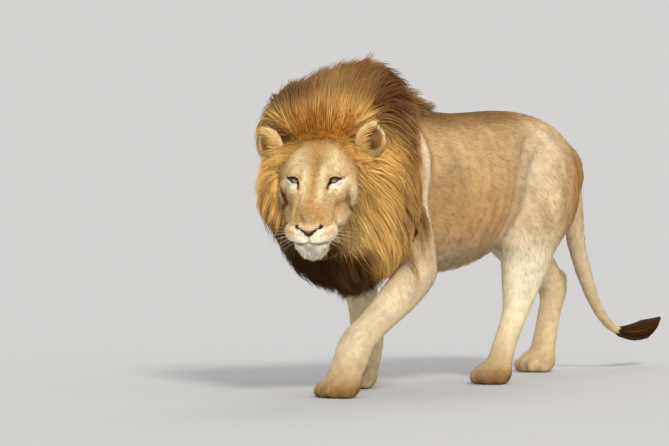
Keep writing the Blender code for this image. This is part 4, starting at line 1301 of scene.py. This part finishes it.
def graded(tint, root, tip):
    """A tuft's tint at its seven points: root at the first three, 1 at the next three, tip at the last."""
    return tint[:, None] * np.array([root] * 3 + [1.0] * 3 + [tip])[None, :, None]


def over_mane(p, mane):
    """How far places of the skin lie outside the mane's form, below 0 where they are in it."""
    solid = undrawn(p)
    at, out, _, gap = nearest(mane, solid)
    return np.where((gap < MANE_REACH) & (own(p)[:, 1] < MANE_END), np.sum((solid - at) * out, 1), 1.0)


def make_coat(body, unwrap, mane, count=27000):
    """The short coat on trunk, legs and tail, longer along the belly's edge and behind the thighs."""
    rng = np.random.default_rng(21)

    def density(c, n):
        q = own(c)
        under = c[:, 2] < 0.004
        core = (q[:, 1] < -0.36) & (q[:, 2] > 0.36)
        return np.where(under, 0, 1) * (1 + 0.8 * ramp(q[:, 2], 0.30, 0.10)) * np.where(core, 0.6, 1)

    roots, normals = scatter(form_of(body), int(count * 1.45), rng, density)
    keep = over_mane(roots, mane) >= 0.004
    roots, normals = roots[keep][:count], normals[keep][:count]
    q = own(roots)
    z = q[:, 2]
    length = 0.0090 + 0.009 * ramp(z, 0.12, 0.45)
    edge = ramp(normals[:, 2], -0.5, -0.9) * ramp(z, 0.30, 0.38)
    length += 0.012 * edge
    behind = ramp(normals[:, 1], 0.5, 0.95) * ramp(z, 0.62, 0.5) * ramp(z, 0.14, 0.25)
    length += 0.007 * behind
    length *= rng.uniform(0.75, 1.25, len(roots))
    width = (0.0018 + 0.0007 * ramp(z, 0.10, 0.4)) * rng.uniform(0.8, 1.2, len(roots))
    lift = 0.15 + 0.30 * edge + 0.25 * behind + rng.uniform(-0.04, 0.05, len(roots))
    lift = np.where(z < 0.02, 0.05, lift)
    p, tri, face = tufts(roots, normals, coat_lie(roots), length, width, lift, rng)
    p[:, :, 2] = np.maximum(p[:, :, 2], 0.0012)
    tint = coat_tint(roots, normals) * rng.uniform(0.78, 1.16, (len(roots), 1))
    order = np.argsort(q[:, 1], kind="stable")
    return put_pieces("coat", order, p, tri, graded(tint, 0.93, 1.10), unwrap(roots), normals, face, 0.22)


def make_face_coat(face, unwrap, count=15000):
    """The face's fur: short on the nose and lips, long on the chin and at the mane's edge."""
    rng = np.random.default_rng(31)

    def density(c, n):
        q = to_head(c)
        show = ramp(border(q), 0.02, 0.0) * np.where((q[:, 1] < 0.09), 1, 0)
        for s in (1, -1):
            u, v, w = in_eye(c, s)
            show = show * np.where((fissure_level(u, v) < 0.0035) & (w > -0.02), 0, 1)
        nose = near(np.abs(q) * [1, 0, 1], (0.0, 0.0, 0.083), 0.020) * (q[:, 1] < -0.18)
        return show * (1 - 0.9 * nose) * (1 + 0.6 * ramp(q[:, 1], -0.05, -0.12))

    roots, normals = scatter(form_of(face), count, rng, density)
    q = to_head(roots)
    edge = ramp(border(q), -0.035, 0.004)
    chin = near(q, (0, -0.160, -0.168), 0.050) * ramp(q[:, 2], -0.130, -0.138)
    length = 0.0036 + 0.0028 * ramp(q[:, 1], -0.12, -0.02) + 0.021 * edge + 0.022 * chin
    cheek = ramp(q[:, 2], -0.03, -0.10) * ramp(np.abs(q[:, 0]), 0.06, 0.09) * ramp(q[:, 1], -0.09, -0.03)
    lip = np.zeros(len(roots))
    for path in (LINES["mouth", 1], LINES["mouth", -1], LINES["philtrum"]):
        lip = np.maximum(lip, along_path(q, path, 0.008))
    length = (length + 0.010 * cheek) * (1 - 0.65 * lip) * rng.uniform(0.75, 1.25, len(roots))
    width = (0.0011 + 0.0007 * ramp(length, 0.006, 0.02)) * rng.uniform(0.8, 1.25, len(roots))
    lift = 0.42 + 0.22 * edge + 0.25 * chin + 0.1 * cheek
    p, tri, face_out = tufts(roots, normals, face_lie(roots), length, width, lift, rng)
    tint = face_tint(roots) * rng.uniform(0.76, 1.16, (len(roots), 1))
    return put_strands("face_coat", p, tri, graded(tint, 0.82, 1.10), unwrap(roots), normals, face_out, 0.40)


def hair_paths(roots, normals, way, length, lift, rng, rings=6, droop=0.0, curl=0.003):
    """Freer hairs: they leave the skin, bend along a way and droop, with a light curl."""
    way = flatten(way, normals)
    side = np.cross(normals, way)
    t = np.linspace(0, 1, rings)[None]
    up = lift[:, None] * np.sin(np.minimum(t * 1.25, 1.0) * np.pi / 2) * length[:, None]
    run = length[:, None] * np.sqrt(np.maximum(1 - (lift[:, None] * 0.8) ** 2, 0.1)) * t
    wave = curl * np.sin(t * rng.uniform(3, 7, (len(roots), 1)) + rng.uniform(0, 6.3, (len(roots), 1))) * t
    p = roots[:, None] + way[:, None] * run[:, :, None] + normals[:, None] * up[:, :, None]
    p = p + side[:, None] * wave[:, :, None]
    return p + DOWN * (droop * length[:, None] * t**2)[:, :, None]


def make_ruff(face, unwrap, count=5000):
    """The first hairs of the mane, from the face's edge out over the under-wool."""
    rng = np.random.default_rng(41)

    def density(c, n):
        q = to_head(c)
        left = ramp(q[:, 0], 0.045, 0.085) * (0.012 + 0.010 * ramp(q[:, 2], 0.015, 0.050))
        b = border(q) + 0.010 * ramp(q[:, 2], 0.035, 0.065) + left
        return ramp(b, -0.014, 0.002) * ramp(b, 0.040, 0.026)

    roots, normals = scatter(form_of(face), count, rng, density)
    q = to_head(roots)
    r = unit(np.stack([q[:, 0], 0 * q[:, 0], q[:, 2] + 0.01], -1))
    way = r @ HEAD_AXES + HY * 0.30
    way = way + DOWN * (0.55 * ramp(q[:, 2], 0.06, 0.0))[:, None] + rng.normal(0, 0.16, (count, 3))
    b = border(q)
    length = (0.034 + 0.060 * ramp(b, -0.02, 0.022)) * rng.uniform(0.8, 1.25, count)
    lift = 0.50 + rng.uniform(-0.08, 0.08, count)
    paths = hair_paths(roots - normals * 0.001, normals, way, length, lift, rng, droop=0.25)
    for s, radius in ((1, 0.031), (-1, 0.026)):
        clear = clear_of_ear(paths, s, radius)
        paths, roots, normals = paths[clear], roots[clear], normals[clear]
    n = len(paths)
    lock = rng.random(n)
    p, tri, facing = strand_mesh(paths, rng.uniform(0.0016, 0.0028, n), normals_for(paths))
    rings = paths.shape[1]
    blend = ramp(along_strand(rings), 0.0, 0.35)[None, :, None]
    tint = face_tint(roots)[:, None] * (1 - blend) + strand_tint(p, rings, lock, 0.4) * blend
    out = unit(normals + normals_for(paths))
    return put_strands("ruff", p, tri, tint, unwrap(roots), out, facing, 0.35)


def normals_for(paths):
    """A steady outward direction for strands: away from the head's middle."""
    return unit(paths[:, 0] - head(0, 0.05, -0.02))


def make_ear(name, s):
    """A soft round cup, its rim pale, its hollow painted dark with shade below and its back dark with a pale
    edge.
    """
    ear = shell("ear_skin_" + name, ["ear_" + name], VOXEL["ear_skin"], 10)
    n = per_point(ear, "normal")
    p = per_point(ear) - n * 0.0012
    put_points(ear, p)
    put_tint(ear, ear_tint(p, n, s))
    return ear


def ear_axes(s):
    """Across, back and up of an ear's cup."""
    m = TURN @ Euler((math.radians(-14), math.radians(EAR_LEAN[s]), math.radians(26 * s))).to_matrix()
    return np.array([m.col[i] for i in range(3)])


def in_ear(p, n, s):
    """Places in an ear's frame, how far they face back, and how near its rim they lie (1 on it)."""
    axes = ear_axes(s)
    e = (p - EAR_AT[s]) @ axes.T
    return e, (n @ axes.T)[:, 1], np.hypot(e[:, 0] / EAR_WIDE, e[:, 2] / EAR_TALL)


def ear_tint(p, n, s):
    e, facing, r = in_ear(p, n, s)
    tint = np.tile(lin(240, 200, 138), (len(p), 1))
    # painted shade: the cup's inside darker, darkest low in its hollow
    inside = ramp(facing, -0.2, -0.6) * ramp(r, 0.88, 0.66)
    tint = paint(tint, lin(138, 92, 42), inside * 0.85)
    low = near(e * [1, 0.3, 1], (0.004 * s, 0, -0.016), 0.024) * ramp(r, 0.85, 0.6)
    tint = paint(tint, UMBER, low * 0.9)
    tint = paint(tint, lin(255, 234, 188), ramp(r, 0.78, 0.92) * ramp(e[:, 2], -0.03, 0.01) * 0.9)
    back = ramp(facing, 0.1, 0.5)
    tint = paint(tint, UMBER, back * ramp(e[:, 2], 0.034, 0.016) * 0.8)
    tint = paint(tint, DARK, near(e, (0.036 * s, 0.010, -0.034), 0.020) * 0.8)
    return tint * (0.88 + 0.24 * NOISE(p, 0.006, 2))[:, None]


def make_ear_hair(ear, name, s, unwrap, count=4000):
    """Short fur on the back and rim, and long pale hair that grows from the inner edge across the hollow."""
    rng = np.random.default_rng(50 + s)
    roots, normals = scatter(form_of(ear), count, rng)
    e, facing, r = in_ear(roots, normals, s)
    front = ramp(facing, -0.1, -0.5) * ramp(r, 1.05, 0.85)
    inner = ramp(-e[:, 0] * s, -0.008, 0.030)
    low = ramp(e[:, 2], 0.005, -0.030)
    outward = unit(np.stack([e[:, 0], 0 * r, e[:, 2] + 0.04], -1))
    across = np.stack([0.9 * s * inner, 0 * r, 0.45 + 0.5 * low], -1)
    way = mix(outward, across, front * np.maximum(inner, low))
    length = 0.0080 + 0.026 * front * np.maximum(inner, 0.7 * low) + 0.007 * ramp(r, 0.8, 1.0)
    length = length * rng.uniform(0.7, 1.3, count)
    lift = 0.25 + 0.45 * front * inner + rng.uniform(-0.05, 0.1, count)
    width = rng.uniform(0.0012, 0.0021, count)
    p, tri, face = tufts(roots, normals, way @ ear_axes(s), length, width, lift, rng)
    tint = ear_tint(roots, normals, s) * rng.uniform(0.85, 1.15, (count, 1))
    long_hair = front * np.maximum(inner, low * 0.4) * ramp(r, 0.55, 0.85)
    tint = paint(tint, mix(GOLD, STRAW, 0.4), long_hair * 0.85)
    return put_strands("ear_hair_" + name, p, tri, graded(tint, 0.84, 1.1), unwrap(roots), normals, face, 0.3)


def make_tail_tuft(unwrap, count=700):
    """Long dark hairs round the tail's last part."""
    rng = np.random.default_rng(61)
    path = np.array([(0.022, 0.955, 0.134), (0.025, 0.995, 0.121), (0.031, 1.055, 0.117),
                     (0.038, 1.115, 0.125), (0.044, 1.165, 0.142), (0.049, 1.203, 0.162)])
    spread = np.array([0.014, 0.019, 0.029, 0.034, 0.022, 0.004])
    u = rng.uniform(0.0, 0.45, count)
    a = rng.uniform(0, 2 * np.pi, count)
    t = u[:, None] + (rng.uniform(0.75, 1.0, count) - u * 0.6)[:, None] * np.linspace(0, 1, 6)[None] * 0.98
    t = np.clip(t, 0, 1)
    knots = np.linspace(0, 1, len(path))
    centre = np.stack([np.interp(t, knots, path[:, i]) for i in range(3)], -1)
    way = unit(np.gradient(centre, axis=1))
    side = unit(np.cross(way, [0, 0, 1.0]))
    top = np.cross(side, way)
    r = np.interp(t, knots, spread) * (0.25 + 0.75 * np.sqrt(rng.random(count)))[:, None]
    r = r * np.interp(np.linspace(0, 1, 6), [0, 0.3, 1], [0.75, 1.0, 0.9])[None]
    b = a[:, None] + 0.5 * (t - u[:, None])
    p = centre + side * (r * np.cos(b))[:, :, None] + top * (r * np.sin(b))[:, :, None] + SHIFT
    out = unit(p[:, 0] - (centre[:, 0] + SHIFT) + 1e-6)
    points, tri, face = strand_mesh(p, rng.uniform(0.0026, 0.0042, count), out)
    tint = mix(lin(112, 78, 48), UMBER, ramp(t[:, -1] + rng.normal(0, 0.1, count), 0.5, 0.75))
    shade = np.append(np.repeat([0.7, 0.85, 1.0, 1.05, 1.1], 3), 1.15)
    tint = tint[:, None] * shade[None, :, None] * rng.uniform(0.75, 1.2, (count, 1, 1))
    return put_strands("tail_tuft_hair", points, tri, tint, unwrap(p[:, 0]), out, face, 0.5)


def make_whiskers(face_tree):
    """Four rows of whiskers on each side, that sweep out and back."""
    rng = np.random.default_rng(71)
    roots, ways, lengths = [], [], []
    for s in (1, -1):
        for r, row in enumerate(WHISKER_ROWS):
            for k, (x, y, z) in enumerate(row[1:]):
                roots.append(head(x * s, y, z))
                ways.append(HX * s * (1.0 + 0.1 * k) + HY * (0.15 + 0.2 * k) + HZ * (0.05 - 0.16 * r))
                lengths.append(0.036 + 0.014 * k + rng.uniform(-0.01, 0.015))
    roots, ways, lengths = np.array(roots), unit(np.array(ways)), np.array(lengths)
    at, out, _, _ = nearest(face_tree, roots)
    t = np.linspace(0, 1, 7)[None]
    p = (at - out * 0.001)[:, None] + ways[:, None] * (lengths[:, None] * t)[:, :, None]
    p = p + out[:, None] * (0.22 * lengths[:, None] * t * (1 - 0.5 * t))[:, :, None]
    p = p + DOWN * (0.30 * lengths[:, None] * t**2)[:, :, None]
    points, tri, _ = strand_mesh(p, np.full(len(p), WHISKER_WIDTH), out, 1.0, [1, 1, 0.9, 0.8, 0.65, 0.45, 0])
    n, k, _ = points.shape
    tint = np.tile(lin(236, 230, 214), (n * k, 1))
    return mesh_of("whiskers", points.reshape(-1, 3), every_strand(tri, n, k), tint)


# ---------------------------------------------------------------- making


def paint_body(body, mane_tree):
    """The trunk's and legs' markings with their painted shade and highlights, and the mane's dark under-wool
    where the mane grows.
    """
    p, n = per_point(body), per_point(body, "normal")
    wool = ramp(over_mane(p, mane_tree), 0.006, 0.0)
    under = mane_tint(p, np.full(len(p), 0.25), np.full(len(p), 0.4))
    put_tint(body, mix(coat_tint(p, n), under, wool))


make_camera()
make_light()
make_stage()

skin_mat = material("skin", 0.90, 0.06, bump=(420, 0.0012), lie=(1.0, 0.35, 0.55))
fur_mat = material("short_fur", 0.85, 0.06)
hair_mat = material("mane_hair", 0.68, 0.10)
nose_mat = material("nose_leather", 0.5, 0.4, bump=(900, 0.0006))
eye_mat = material("eye", 0.25, 0.5, coat=1.0)

mane_tree = tree_of(NODES["mane"])
flesh_tree = tree_of(*(NODES[name] for name in ("trunk", "head", "jaw", "forearm_left", "forearm_right")))

core = make_core()
body = make_body_skin(core)
face = make_face_skin()
paint_body(body, mane_tree)
put_tint(face, face_tint(per_point(face)))
finish_piece(body, skin_mat, "coat", *FLESH)
finish_piece(face, skin_mat, "face", "head", "jaw")

unwrap = Unwrap(body, face)
face_tree = tree_of(face)
for s, name in ((1, "left"), (-1, "right")):
    p, triangles = make_lids(s, face_tree)
    finish_piece(mesh_of("lid_" + name, p, triangles, face_tint(p)), skin_mat, "face")
    finish_piece(make_eye("eyeball_" + name, s), eye_mat, "eye", "eye_" + name)
    ear = make_ear(name, s)
    finish_piece(ear, skin_mat, "ear", "ear_" + name)
    finish_piece(make_ear_hair(ear, name, s, unwrap), fur_mat, "ear")
finish_piece(make_nose(), nose_mat, "nose", "nose")

for i, piece in enumerate(make_mane(core, unwrap, mane_tree, flesh_tree)):
    finish_piece(piece, hair_mat, "mane", *(["mane"] if i == 0 else []))
finish_piece(make_wisps(unwrap, flesh_tree), hair_mat, "mane")
finish_piece(make_ear_locks(face_tree, unwrap), hair_mat, "mane")
finish_piece(make_ruff(face, unwrap), hair_mat, "mane")
for piece in make_coat(body, unwrap, mane_tree):
    finish_piece(piece, fur_mat, "coat")
finish_piece(make_face_coat(face, unwrap), fur_mat, "face")
finish_piece(make_tail_tuft(unwrap), hair_mat, "tuft", "tail_tuft")
finish_piece(make_whiskers(face_tree), fur_mat, "face")
